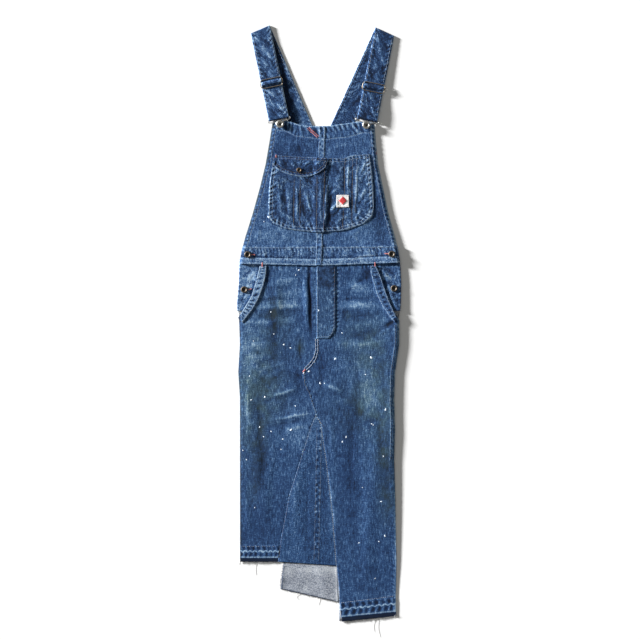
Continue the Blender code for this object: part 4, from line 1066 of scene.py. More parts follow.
flapEdge = [(-111, 382.5), (-102.5, 372.5), (-91, 364.5), (-69, 356), (-42, 351.5), (-21, 353.5),
    (-3, 357.5), (16.5, 372.5), (22, 388.5)]
flapTopLine = [(-106, 404), (-45, 400.5), (22, 397)]
flapLook = {
        "creases": (
        (-86, 397, -76, 368, 3, -0.4, -0.3), (-69, 392, -54.5, 373, 3, 0.5, 0.26),
        (-38, 377.5, -16, 392, 3, 0.6, 0.4), (-26, 363, -2, 382.5, 3, -0.4, -0.3),
        (-54.5, 382.5, -38, 387, 2.6, 0.5, 0.34), (-14, 373, 8, 392, 3, 0.4, 0.26),
        (-98, 392, -86, 373, 3, 0.4, 0.2)),
        "ropes": ((flapEdge, 5, 9, 4, 0.5, 0.35, 0.5, 56),
        (flapTopLine, -4.5, 9, 4, 0.4, 0.3, 0.34, 58)),
        "lines": ((flapEdge, 0.9, 1.7, 0.1, 0.85), (flapEdge, 8.5, 1.4, -0.2, -0.16),
        (flapTopLine, -1.5, 1.6, 0.1, 0.46), (flapTopLine, -7.5, 1.4, -0.2, 0.24)),
}


def flapUnder(x, y):
    over = np.clip((398 - y) / 5, 0, 1)
    relief = pocketRelief(x, y)[0]
    return pocketUnder(x, y) + (layout["pocketWall"] + 0.15 + np.maximum(relief, 0)) * over


def flapPlace(s, t):
    topX, topY, footX, footY = sectionAt(flapSections, s)
    x, y = blend(topX, footX, t), blend(topY, footY, t)
    height, tint = lookAt(flapLook, x, y, 1.4, 1.5)
    worn = longWisps(x, y, 9, 40, 170)
    fade = tint + 0.12 * mottle(x, y, 6, 64) - 0.38 + 0.3 * worn
    relief = np.maximum(height + 0.3 * worn, -0.2)
    return x, y, flapUnder(x, y) + relief, fade, 0 * x


clothPiece("pocketFlap", {
    "width": 133, "length": 48, "spacing": 1.5, "thickness": 0.95, "crisp": True,
    "slot": "denim_bib", "cloth": denimCreased,
    "flat": (0.134, 0.053), "area": 0.0055, "restsOn": ("bib_pocket",)}, flapPlace)


labelValues = {"x": 57.5, "y": 293, "side": 29.5}


def labelPlace(s, t):
    x = labelValues["x"] + labelValues["side"] * (s - 0.5)
    y = labelValues["y"] - labelValues["side"] * (t - 0.5)
    z = pocketUnder(x, y) + pocketRelief(x, y)[0] + layout["pocketWall"] + 0.1
    edge = np.minimum(np.minimum(s, 1 - s), np.minimum(t, 1 - t))
    fade = 0.1 * mottle(x, y, 6, 65) + 0.3 * np.sin(y * 3.2) * 0.3
    return x, y, z + 0.1 * np.sin(s * math.pi), fade, 0.25 * bell(edge / 0.05)


clothPiece("wovenLabel", {
    "width": labelValues["side"], "length": labelValues["side"], "spacing": 0.9, "thickness": 0.8,
    "slot": "label_cloth", "materials": (labelCloth, labelCloth, labelCloth),
    "flat": (0.0295, 0.0295), "restsOn": ("bib_pocket",)}, labelPlace)


waistTopLine = [(-190, 184), (0, 184), (194, 186)]
waistFootLine = [(-192, 143), (0, 138.5), (196, 146)]
waistLook = {
        "creases": (
        (-136, 183, -126.5, 154.5, 3.5, 0.5, 0.26), (-114.5, 181, -105, 152, 3.5, -0.4, -0.26),
        (-86, 183, -83.5, 157, 3.5, 0.4, 0.22), (-62, 181, -54.5, 154.5, 3.5, -0.4, -0.22),
        (-38, 183, -40, 157, 3.5, 0.4, 0.2), (-21, 181, -23.5, 152, 3.5, -0.5, -0.4),
        (27, 183, 29.5, 154.5, 3.5, 0.5, 0.24), (44, 181, 41.5, 154.5, 3.5, -0.4, -0.2),
        (63, 183, 68, 157, 3.5, 0.4, 0.2), (89.5, 183, 84.5, 161.5, 3.5, -0.4, -0.22),
        (113.5, 183, 118, 161.5, 3.5, 0.5, 0.24), (142, 183, 137.5, 157, 3.5, -0.4, -0.26),
        (154, 181, 164, 152, 3.5, 0.4, 0.22), (80, 157, 135, 166.5, 2.6, 0.3, 0.5),
        (-174.5, 181, -165, 152, 4, -0.4, -0.22)),
        "ropes": ((waistTopLine, -8, 8.5, 6.5, 0.3, 0.2, 0.5, 66),
        (waistFootLine, 7.5, 6, 4, 0.5, 0.1, 0.22, 68),
        (waistTopLine, -20, 12, 6, 0.2, 0.16, 0.24, 69)),
        "lines": ((waistTopLine, -1.2, 1.8, 0.2, 0.34), (waistFootLine, 1.8, 1.6, 0.1, 0.55),
        (waistFootLine, 8, 4.5, 0.4, 0.18), (waistFootLine, 13.8, 1.6, -0.3, 0.55),
        (waistFootLine, 17.5, 2, -0.3, -0.36)),
}


def overlayUnder(x, y):
    roll = edgeRoll(x, y)[0]
    return plainTop(x, y) + layout["stackGap"] + layout["rollClearance"] * (1 - roll)


def waistPlace(s, t):
    s = sideWarp(s, 0.03)
    x = blend(-187, 192.5, s)
    y = blend(tableAt(waistTopLine, x), tableAt(waistFootLine, x), t)
    left, right = outlineLeft(y), outlineRight(y)
    x = blend(left, right, s)
    height, tint = lookAt(waistLook, x, y, 0.8, 1.2)
    worn = longWisps(x, y, 9, 85, 180)
    fade = tint + 0.1 * mottle(x, y, 14, 75)
    fade = fade + 0.12 * mottle(x, y, 4.5, 76) + 0.3 * worn - 0.04
    roll = edgeRoll(x, y)[0]
    relief = height + 0.2 * worn + 0.15
    relief = np.maximum(relief, -0.2) * (0.3 + 0.7 * roll)
    relief = relief * (1 - 0.8 * np.exp(-((x - tableAt(seams["bib"], y)) / 12) ** 4))
    return x, y, overlayUnder(x, y) + relief, fade, patchField(frontLook["stains"], x, y)


clothPiece("waistband", {
    "width": 385, "length": 44, "spacing": 1.5, "node": "waistband_front", "cloth": denimCreased,
    "thickness": 1.8, "crisp": True,
    "flat": (0.387, 0.045), "restsOn": ("skirt_front_left", "skirt_front_right")}, waistPlace)

leftBand = ((-141.5, 138, -125, 138), (-145, 124, -127, 115), (-152, 96, -133, 90),
    (-161, 67, -144, 60), (-172, 48, -157, 36), (-183, 30, -173, 15), (-188, 21, -184, 1))
rightBand = ((137, 138, 123.5, 138), (143, 126, 125, 118), (151, 107, 133, 90),
    (159, 81, 141, 64), (169, 53, 154, 39), (180, 29, 168, 18), (187, 14, 181, 3))


def bandPlace(sections, mouthOnLeft, seed):
    base = 0.46 if mouthOnLeft else 0.02
    def place(s, t):
        mouthX, mouthY, innerX, innerY = sectionAt(sections, t)
        across = s if mouthOnLeft else 1 - s
        x, y = blend(mouthX, innerX, across), blend(mouthY, innerY, across)
        run = t * 135
        wave = np.sin(2 * math.pi * (run / 9.6 + 0.9 * across + 0.5 * wobble(run / 27, seed)))
        dark = bell((across - 0.5) / 0.22) * smoothStep(0.2 + 1.5 * wave)
        dark = dark * (0.8 + 0.35 * wobble(run / 9, seed + 3))
        edges = bell(across / 0.12) + bell((1 - across) / 0.14)
        fade = base - 1.3 * dark + 0.26 * edges + 0.18 * mottle(x, y, 7, seed + 1)
        relief = 0.5 * np.sin(math.pi * across) - 0.45 * dark
        return x, y, overlayUnder(x, y) + np.maximum(relief, -0.15), fade, 0 * x
    return place


for side, sections, onLeft, seed in (("Left", leftBand, True, 91), ("Right", rightBand, False, 95)):
    clothPiece("pocketBand" + side, {
        "width": 18, "length": 135, "spacing": 1.3, "cloth": denimCreased,
        "flat": (0.0205, 0.14), "crisp": True, "restsOn": ("skirt_front_" + side.lower(),)},
        bandPlace(sections, onLeft, seed))


def facingPlace(side, seed):
    def place(s, t):
        y = blend(150, 30, t)
        mouth = tableAt(seams["leftMouth" if side < 0 else "rightMouth"], y) - side * 13
        outer = outlineLeft(y) if side < 0 else outlineRight(y)
        x = blend(outer, mouth, s) if side < 0 else blend(mouth, outer, s)
        mouthSide = np.abs(x - mouth)
        height, tint = creaseField((
            (side * 150, 128, side * 176, 100, 3.5, 0.5, 0.36),
            (side * 158, 132, side * 184, 112, 3.5, -0.4, -0.24),
            (side * 152, 104, side * 172, 92, 3.5, -0.4, -0.22),
            (side * 160, 96, side * 186, 70, 3.5, 0.5, 0.3),
            (side * 166, 66, side * 190, 60, 3.5, 0.4, 0.24),
            (side * 172, 78, side * 190, 50, 3.5, -0.4, -0.3),
            (side * 150, 120, side * 156, 96, 3.5, 0.4, 0.2)), x, y, 0.4)
        worn = longWisps(x, y, 9, 90 - side * 45, seed + 20)
        height = 1.2 * height + 0.35 * worn
        tint = 1.6 * tint + (0.22 if side < 0 else -0.08) + 0.3 * worn
        tint = tint + 0.12 * mottle(x, y, 9, seed)
        tint = tint + 0.12 * mottle(x, y, 4, seed + 1)
        # painted shade in the pocket mouth beside the front's edge, weaker on the right, where the
        # band casts its own shadow
        tint = tint - (0.9 if side < 0 else 0.1) * bell((mouthSide - 10) / 6)
        outerSide = np.abs(x - outer)
        rope = np.sin(y * 0.62 + 2 * wobble(y / 21, seed + 2)) * bell(outerSide / 5)
        tint = tint + 0.3 * rope
        fall = 0.55 * smoothStep(outerSide / 6)
        level = layout["facingLevel"] + np.maximum(rightRise(x, y), 0)
        if side > 0:
            # beside the right band the facing lies close under the front, so it stays lit; it is also
            # painted a little lighter there, with a thin line of painted shade along the front's
            # mouth edge
            near = smoothStep(1 - mouthSide / 34)
            level = level + 0.7 * near + 1.3 * bell((mouthSide - 24) / 8)
            tint = tint + 0.1 * near - 0.5 * bell((mouthSide - 13) / 3)
        return x, y, level + np.maximum(height, 0) * fall, tint, 0 * x
    return place


for side, sign, seed in (("Left", -1, 97), ("Right", 1, 101)):
    clothPiece("pocketFacing" + side, {
        "width": 50, "length": 120, "spacing": 1.8,
        "materials": (denimCreased, denimReverse, denimFront), "flat": (0.065, 0.12),
        "area": 0.0058, "restsOn": ("skirt_back_" + side.lower(),)}, facingPlace(sign, seed))

flyFoot = [(-5, -34.5), (20, -34.5), (27, -32), (32.5, -26), (36, -18), (38.2, -8)]
flyValues = {"top": 137, "foot": -36, "left": -5.5, "right": 40, "cornerCut": 16}
flyLook = {
        "creases": (
        (5.5, 121, 36.5, 94.5, 3, 0.4, 0.4), (-2, 128, 27, 133, 3, 0.3, 0.24),
        (3, 94.5, 39, 87, 3, -0.3, -0.3), (0.5, 113.5, 17.5, 97, 3, -0.3, -0.22),
        (-2, 80, 36.5, 77.5, 3, 0.3, 0.2), (22, 61, 36.5, 46.5, 3, 0.3, 0.24),
        (3, 41.5, 27, 37, 3.5, 0.3, 0.14), (0.5, 13, 32, 17.5, 3.5, -0.3, -0.14),
        (3, -11, 27, -6.5, 3.5, 0.3, 0.14)),
        "ropes": (([(40, 137), (40, -14)], -4, 10, 4.5, 0.5, 0.25, 0.34, 77),),
        "lines": (([(-5.5, 137), (-5.5, -36)], 1, 1.4, 0, 0.22),
        (flyFoot, 0, 1.4, 0.1, 0.3),
        ([(40, 137), (40, -14)], -1, 1.5, 0, -0.1)),
}


def flyPlace(s, t):
    # its corner is cut round
    y = blend(flyValues["top"], flyValues["foot"], t)
    low = np.clip((-4 - y) / 32, 0, 1)
    x = blend(flyValues["left"], flyValues["right"] - flyValues["cornerCut"] * low ** 2.2, s)
    height, tint = lookAt(flyLook, x, y)
    fade = tint + 0.1 * mottle(x, y, 11, 78) + 0.08 * mottle(x, y, 5, 79)
    worn = longWisps(x, y, 8, 30, 190) * smoothStep((y - 60) / 30) + 0.4 * wisps(x, y, 10, 191)
    fade = fade - 0.34 * smoothStep((y - 72) / 26) * smoothStep((x + 4) / 6) + 0.02 + 0.4 * worn
    relief = np.maximum(height + 0.15 * worn, -0.2)
    side = smoothStep(np.minimum(s, 1 - s) * 45 / 5)
    z = plainTop(x, y) + blend(0, layout["stackGap"] + relief, side)
    return x, y, z, fade, 0.15 + 0 * x


clothPiece("flyFlap", {
    "width": 45.5, "length": 173, "spacing": 1.6, "thickness": 0.9, "crisp": True,
    "cloth": denimFront,
    "flat": (0.0455, 0.173), "area": 0.0077, "restsOn": ("skirt_front_right",)}, flyPlace)
print("bib, pockets, waistband and fly made")


strapValues = {
        "width": 49.2,
        "meeting": (5.4, 366),
        "sides": (("Left", (-140, 704.5), (-93, 478), 129.5),
        ("Right", (158, 699), (114, 475.5), 135.5)),
        # the strap lies on the bib for its overlap; the bar sits short of the button
        "overlap": 64, "slideReach": 14, "flatReach": 11, "barToButton": 14, "barTurn": 8,
        "ground": 0.9, "overBib": 2.5, "returning": 2.6, "front": 4.3,
        "bulge": 7.8, "returnEnd": 4.3, "turnSteps": 14, "bar": 5, "barRadius": 1.95,
        # creases in the strap's own length and width: run, side, run, side, half width, height, tint
        "creases": (
        (10, -18, 34, -4, 3.2, 0.5, 0.34), (22, 4, 44, 16, 3, -0.4, -0.3),
        (30, -10, 62, 6, 3.4, 0.5, 0.36), (40, -18, 66, -8, 3, -0.4, -0.28),
        (52, 2, 84, 18, 3.2, 0.5, 0.34), (66, -14, 92, 0, 3.2, 0.4, 0.3),
        (74, 8, 100, 20, 3, -0.4, -0.3), (88, -20, 116, -6, 3.2, -0.4, -0.26),
        (98, -4, 122, 12, 3.2, 0.5, 0.32), (142, -16, 168, 2, 3, 0.6, 0.46),
        (150, 4, 172, 18, 3, -0.4, -0.28), (166, -18, 190, -2, 3.2, 0.4, 0.3),
        (178, 2, 204, 16, 3.2, 0.5, 0.3), (186, -14, 214, -4, 3, -0.4, -0.26),
        (200, 0, 222, 8, 3, 0.4, 0.26), (-60, -12, -30, 8, 3.4, 0.4, 0.3),
        (-95, -18, -66, -2, 3.4, -0.4, -0.26), (-120, 0, -88, 18, 3.4, 0.4, 0.32),
        (-160, -14, -128, 4, 3.4, 0.4, 0.3), (-196, 0, -164, 16, 3.4, -0.4, -0.26),
        (-226, -16, -196, 0, 3.4, 0.4, 0.28), (-262, -4, -232, 14, 3.4, 0.4, 0.28)),
}


def strapStations(fold, button, slideDistance):
    # stations from the meeting on the back bib, round the shoulder fold, over the slide, round
    # the buckle's bar and back under to the slide: distance past the fold, centre, level, across
    values = strapValues
    half = values["width"] / 2
    fold, button, meeting = Vector(fold), Vector(button), Vector(values["meeting"])
    lean = 1 if fold.x < 0 else -1
    meeting.x -= lean * layout["seamGap"] / 2
    backDown = (meeting - fold).normalized()
    backAcross = Vector((-backDown.y, backDown.x))
    backAcross = (backAcross if backAcross.x > 0 else -backAcross) * half
    reach = backAcross.x / abs(backDown.x)
    mitre = Vector((0, lean * (reach * abs(backDown.y) + abs(backAcross.y))))
    length = (meeting - fold).length
    rows = [(-length, meeting, values["overBib"], mitre)]
    for share in np.linspace(0, 1, 12)[1:]:
        away = share * values["overlap"]
        turned = mitre.lerp(backAcross, float(share))
        rows.append((away - length, meeting - backDown * away, values["overBib"], turned))
    for away in np.linspace(68, length - 6, 24):
        fall = float(smoothStep((away - values["overlap"]) / 22))
        level = blend(values["overBib"], values["ground"], fall)
        rows.append((away - length, meeting - backDown * away, level, backAcross))
    down = (button - fold).normalized()
    across = Vector((-down.y, down.x))
    across = (across if across.x > 0 else -across) * half
    radius = (values["returning"] - values["ground"]) / 2 + 0.15
    for step in range(values["turnSteps"] + 1):
        angle = math.pi * step / values["turnSteps"]
        rows.append((radius * (step / values["turnSteps"] - 1),
            fold - backDown * radius * math.sin(angle),
            values["ground"] + radius * (1 - math.cos(angle)), backAcross))
    afterFold = values["ground"] + 2 * radius
    beforeSlide = slideDistance - values["slideReach"]
    for distance in np.linspace(3, beforeSlide, 24):
        turned = backAcross.lerp(across, min(1, distance / 26)).normalized() * half
        level = blend(afterFold, values["front"], distance / beforeSlide)
        rows.append((distance, fold + down * distance, level, turned))
    for offset in np.linspace(-values["flatReach"], values["flatReach"], 34):
        rise = float(smoothStep((7 - abs(offset)) / 5.4))
        rows.append((slideDistance + offset, fold + down * (slideDistance + offset),
            blend(values["front"], values["bulge"], rise), across))
    barDistance = (button - fold).length - values["barToButton"]
    pastSlide = slideDistance + values["flatReach"]
    for distance in np.linspace(slideDistance + values["slideReach"], barDistance - 2, 18):
        rise = float(smoothStep((distance - pastSlide) / (0.85 * (barDistance - pastSlide))))
        level = blend(values["front"], values["bar"] + values["barRadius"], rise)
        rows.append((distance, fold + down * distance, level, across))
    for step in range(values["turnSteps"] + 1):
        angle = math.pi * step / values["turnSteps"]
        centre = fold + down * (barDistance + values["barRadius"] * math.sin(angle))
        rows.append((barDistance + values["barTurn"] * step / values["turnSteps"], centre,
            values["bar"] + values["barRadius"] * math.cos(angle), across))
    for distance, level in ((barDistance - 12, values["returning"]),
            (slideDistance + 8, values["returning"]),
            (slideDistance + 5.5, 2.9), (slideDistance + 4, 3.3),
            (slideDistance + 2.6, 3.8), (slideDistance + 1.2, values["returnEnd"]),
            (slideDistance - 1.2, values["returnEnd"])):
        run = 2 * barDistance + values["barTurn"] - distance
        rows.append((run, fold + down * distance, level, across))
    return rows


def strapPlace(fold, button, slideDistance, seed, base):
    rows = strapStations(fold, button, slideDistance)
    steps = np.array([(run, centre.x, centre.y, level, across.x, across.y)
        for run, centre, level, across in rows])
    order = np.arange(len(rows))

    def place(s, t):
        at = t * (len(rows) - 1)
        run, cx, cy, level, ax, ay = (np.interp(at, order, steps[:, k]) for k in range(6))
        side = 2 * s - 1
        x, y = cx + ax * side, cy + ay * side
        v = side * strapValues["width"] / 2
        height, tint = creaseField(strapValues["creases"], run, v, 0.5)
        edge = (1 - np.abs(side)) * strapValues["width"] / 2
        for sign, offset in ((-1, 0), (1, 5)):
            path = [(-300, sign * 19.5), (300, sign * 19.5)]
            ropeHeight, ropeTint = puckerField(
                ((path, 0, 11, 5, 0.7 * sign, 0.22, 0.4, seed + offset),), run, v)
            height, tint = height + ropeHeight, tint + ropeTint
        worn = longWisps(run, v, 9, 32, seed + 30)
        height, tint = 0.8 * height + 0.25 * worn, 1.5 * tint + 0.34 * worn + base
        rightSide = side > 0
        # pale worn edges; the right edge, whose slope faces away from the low light, is painted
        # lighter still
        tint = tint + np.where(rightSide, 1.3, 0.55) * bell(edge / 1.6)
        tint = tint + 0.12 * bell((edge - 8.5) / 1.4)
        tint = tint + 0.14 * mottle(run, v, 11, seed + 9) + 0.12 * mottle(run, v, 5, seed + 10)
        backStretch = smoothStep((-6 - run) / 10)
        # painted shade where the strap turns round the buckle's bar and runs back under
        beyond = smoothStep((run - (Vector(button) - Vector(fold)).length + 18) / 4)
        tint = tint + 0.05 * backStretch - 0.35 * beyond
        share = (y - fold[1]) / (button[1] - fold[1])
        past = x - blend(fold[0], button[0], share) - 25
        # a painted shadow of the left front strap on the left back strap beside it
        if fold[0] < 0:
            shadow = smoothStep(1.6 - past / 12)
            tint = tint - 0.75 * backStretch * shadow * smoothStep((past + 9) / 4)
        nearSlide = np.exp(-((run - slideDistance) / 9) ** 4)
        nearFold = bell(run / 7)
        free = (1 - nearSlide) * (1 - nearFold) * (1 - beyond)
        z = level + np.maximum(height, -0.45) * free * (1 - 0.6 * backStretch)
        lowered = np.where(rightSide, 0.3, 0.7) * bell(edge / 3.5)
        z = z - lowered * np.maximum(free, nearSlide) * (1 - backStretch)
        return x, y, np.maximum(z, 0.88), tint, 0 * x, v, run
    return place


for strapSide, seed, base in zip(strapValues["sides"], (110, 130), (-0.16, -0.4)):
    clothPiece("strap" + strapSide[0], {
        "width": strapValues["width"], "length": 815, "spacing": 1.8, "slot": "denim_strap",
        "materials": (denimStrap, denimStrap, wornRim), "thickness": 1.7, "offset": 0,
        "flat": (0.049, 0.7), "area": 0.034, "restsOn": ("bib_back",)},
        strapPlace(*strapSide[1:], seed, base))
print("straps made")


def wirePiece(name, runs, radius, material, slot=None):
    # round wire along runs of points; each run says whether it is closed
    data = bpy.data.curves.new(name, "CURVE")
    data.dimensions = "3D"
    data.bevel_depth = radius * mm
    data.bevel_resolution = 4
    data.use_fill_caps = True
    for points, closed in runs:
        line = data.splines.new("POLY")
        line.points.add(len(points) - 1)
        for spot, point in zip(line.points, points):
            spot.co = (*(Vector(point) * mm), 1)
        line.use_cyclic_u = closed
    wire = addObject(name + "Line", data)
    bpy.context.view_layer.update()
    mesh = bpy.data.meshes.new_from_object(
        wire.evaluated_get(bpy.context.evaluated_depsgraph_get()))
    bpy.data.objects.remove(wire)
    mesh.name = name
    mesh.materials.clear()
    mesh.materials.append(material)
    mesh.shade_smooth()
    addPiece(name, mesh, slot)


def smoothRun(points, steps):
    # a rounder line through the same points
    result = []
    count = len(points)
    for i in range(count - 1):
        p0, p1 = Vector(points[max(i - 1, 0)]), Vector(points[i])
        p2, p3 = Vector(points[i + 1]), Vector(points[min(i + 2, count - 1)])
        for step in range(steps):
            t = step / steps
            result.append(0.5 * (2 * p1 + (p2 - p0) * t + (2 * p0 - 5 * p1 + 4 * p2 - p3) * t * t
                + (3 * p1 - p0 - 3 * p2 + p3) * t ** 3))
    return result + [Vector(points[-1])]


slideValues = {"wire": 0.9, "halfWidth": 27, "halfLength": 10.3, "corner": 7, "level": 6.05}
buckleValues = {"wire": 1.1, "barToButton": strapValues["barToButton"], "barLevel": 5,
    "eyeLevel": 6.5,
    "eyeRadius": 4.3,
    "side": ((22, 0), (25, 0.1), (26.8, 1.3), (27.4, 3.3), (26.4, 5.2),
        (23.5, 6.5), (14, 8), (7.5, 9.2))}


def turnedPoints(points, centre, across):
    along = Vector((-across.y, across.x))
    return [(centre.x + x * across.x + y * along.x, centre.y + x * across.y + y * along.y, z)
        for x, y, z in points]


for side, fold, button, slideDistance in strapValues["sides"]:
    fold, button = Vector(fold), Vector(button)
    down = (button - fold).normalized()
    across = Vector((-down.y, down.x))
    across = across if across.x > 0 else -across
    values = slideValues
    corners = []
    for index in range(4):
        signX = 1 if index in (0, 3) else -1
        signY = 1 if index in (0, 1) else -1
        for step in range(9):
            angle = math.radians(90 * index + 90 * step / 8)
            corners.append((signX * (values["halfWidth"] - values["corner"])
                + values["corner"] * math.cos(angle),
                signY * (values["halfLength"] - values["corner"])
                + values["corner"] * math.sin(angle), values["level"]))
    bar = [(-values["halfWidth"], 0, values["level"]), (values["halfWidth"], 0, values["level"])]
    centre = fold + down * slideDistance
    wirePiece("slide" + side, ((turnedPoints(corners, centre, across), True),
            (turnedPoints(bar, centre, across), False)),
        values["wire"], slideMetal, "antique_metal")
    values = buckleValues
    right = []
    for x, drop in values["side"]:
        rise = min(1, max(0, (drop - 0.5) / 5.5))
        right.append((x, values["barToButton"] - drop,
            blend(values["barLevel"], values["eyeLevel"], rise)))
    eye = [(values["eyeRadius"] * math.cos(a), values["eyeRadius"] * math.sin(a),
        values["eyeLevel"]) for a in (-math.pi * step / 16 for step in range(17))]
    left = [(-x, y, z) for x, y, z in reversed(right)]
    middle = [(x, values["barToButton"], values["barLevel"]) for x in (-22, -10, 10, 22)]
    loop = smoothRun(middle[1:3] + right + eye + left + middle[1:2], 4)
    wirePiece("buckle" + side, ((turnedPoints(loop[:-1], button, across), True),),
        values["wire"], brightMetal, "bright_metal")

ringProfile = ((0, 2.3), (0.9, 2.25), (1.5, 2), (2.2, 1.8), (3.6, 1.8), (4.3, 2.5), (4.7, 3.7),
    (5.3, 4.4), (6.1, 4.7), (7, 4.65), (8, 4.3), (8.8, 3.7), (9.1, 3.1), (8.8, 2.6),
    (8, 2.3), (2.5, 2.1), (2.5, 0), (0, 0))
tackProfile = ((0, 1.1), (1, 1.05), (1.6, 0.9), (2.6, 0.85), (3.8, 0.85), (4.6, 1.5), (5.2, 2.2),
    (6, 2.5), (6.8, 2.4), (7.7, 2), (8.2, 1.5), (8.1, 1.1), (7.6, 0.85),
    (3, 0.7), (3, 0), (0, 0))


def buttonPiece(name, profile, x, y, level, metal, slot, scale=1):
    shape = bmesh.new()
    ring = [shape.verts.new((radius * scale, 0, height * scale)) for radius, height in profile]
    edges = [shape.edges.new(pair) for pair in zip(ring, ring[1:])]
    bmesh.ops.spin(shape, geom=ring + edges, cent=(0, 0, 0), axis=(0, 0, 1),
        angle=2 * math.pi, steps=36, use_merge=True, use_duplicate=False)
    bmesh.ops.remove_doubles(shape, verts=shape.verts, dist=0.01)
    bmesh.ops.recalc_face_normals(shape, faces=shape.faces)
    for face in shape.faces:
        # faces in the middle take the near-black second material, painted shade standing in for the
        # button's hole
        centre = face.calc_center_median()
        inner = math.hypot(centre.x, centre.y) < 3.9 * scale and centre.z > 0.8 * scale
        face.material_index = 1 if inner else 0
        face.smooth = True
    bmesh.ops.transform(shape, matrix=Matrix.Translation((x, y, level)), verts=shape.verts)
    toMetres(shape)
    addPiece(name, makeMesh(name, shape, metal, paintedHoleShade), slot)


# near-black painted shade for the buttons' holes
paintedHoleShade = grainMaterial("paintedHoleShade", (0.008, 0.007, 0.006), (0.03, 0.024, 0.018), 600, 0.6)


def oneSpot(field, x, y):
    return float(field(np.array([float(x)]), np.array([float(y)]))[0])


for side, x, y in (("Left", -93, 478), ("Right", 114, 475.5)):
    buttonPiece("bibButton" + side, ringProfile, x, y, oneSpot(plainTop, x, y) + 0.3,
        brightMetal, "bright_metal", 1.06)
for name, x, y in (("LeftUpper", -170.5, 165), ("LeftLower", -179, 81), ("RightUpper", 175, 166),
        ("RightLower", 181, 84)):
    # the upper ones sit on the waistband, the lower ones on the facings
    onBand = oneSpot(overlayUnder, x, y) + 2
    onFacing = 3.1 + max(oneSpot(rightRise, x, y), 0)
    buttonPiece("sideButton" + name, tackProfile, x, y, onBand if "Upper" in name else onFacing,
        antiqueMetal, "antique_metal")
brass = grainMaterial("brass", (0.16, 0.12, 0.075), (0.07, 0.05, 0.035), 500, 0.4, 1)
buttonPiece("flapButton", tackProfile, -47, 367.5, oneSpot(flapUnder, -47, 367.5) + 1.55, brass,
    "antique_metal", 0.74)
print("hardware made")


def frontFace(x, y):
    roll = edgeRoll(x, y)[0]
    return frontUnder(x, y) + frontLookAt(x, y)[0] * (0.35 + 0.65 * roll) + layout["wall"]


def pocketFace(x, y):
    return pocketUnder(x, y) + pocketRelief(x, y)[0] + layout["pocketWall"]


def flapFace(x, y):
    return flapUnder(x, y) + layout["pocketWall"] + 0.15


def waistFace(x, y):
    return overlayUnder(x, y) + layout["doubleWall"] + 0.25


def flyFace(x, y):
    return plainTop(x, y) + layout["stackGap"] + 1


def bandFace(x, y):
    return overlayUnder(x, y) + layout["wall"] + 0.2


def stripFace(x, y):
    return frontFace(x, y) + np.where(y > 0, 0.62 + stripClimb(y), 0.08)


def labelFace(x, y):
    return pocketFace(x, y) + layout["stackGap"] + 0.8


def shiftedPath(path, shift):
    # the same line moved to its left
    points = [Vector(spot) for spot in path]
    moved = []
    for i, point in enumerate(points):
        before = points[max(i - 1, 0)]
        after = points[min(i + 1, len(points) - 1)]
        way = (after - before).normalized()
        moved.append((point.x - way.y * shift, point.y + way.x * shift))
    return moved


def resampled(path, pitch):
    path = np.array(path, float)
    steps = np.hypot(*(path[1:] - path[:-1]).T[:2])
    run = np.concatenate(([0], np.cumsum(steps)))
    places = np.arange(0, run[-1], pitch)
    return np.stack([np.interp(places, run, path[:, k]) for k in range(path.shape[1])], 1)


def stitchMesh(target, spots, length, width, rng, uneven=0.12):
    # small round-ended stitches between neighbouring spots, one mesh for each run
    shape = bmesh.new()
    for first, second in zip(spots, spots[1:]):
        first, second = Vector(first), Vector(second)
        way = second - first
        if way.length < 0.2:
            continue
        middle = (first + second) / 2 + Vector((0, 0, width * 0.25))
        way.normalize()
        side = Vector((0, 0, 1)).cross(way).normalized()
        side = (side + way * rng.uniform(-uneven, uneven)).normalized()
        up = way.cross(side)
        half = length / 2 * rng.uniform(0.85, 1.1)
        matrix = Matrix((side * width / 2, up * width * 0.42, way * half)).transposed().to_4x4()
        matrix.translation = middle
        bmesh.ops.create_uvsphere(shape, u_segments=5, v_segments=4, radius=1, matrix=matrix)
    mergeShape(target, shape)


def onFace(path, face, lift=0):
    # the path's points, each as high as the face below it
    x, y = np.array(path, float).T[:2]
    return np.stack((x, y, face(x, y) + lift), 1)


def stitchPiece(name, runs, face=None, material=threadPale, sizes=(3, 2.5, 0.75)):
    # runs: path, shift and, where they differ from the others, face, pitch, length and width
    target = bmesh.new()
    rng = np.random.default_rng(len(name))
    for path, shift, *own in runs:
        under = own[0] if own else face
        pitch, length, width = own[1:] or sizes
        spots = resampled(shiftedPath(path, shift) if shift else path, pitch)
        stitchMesh(target, onFace(spots, under) if under else spots, length, width, rng)
    addSmooth(name, target, material)


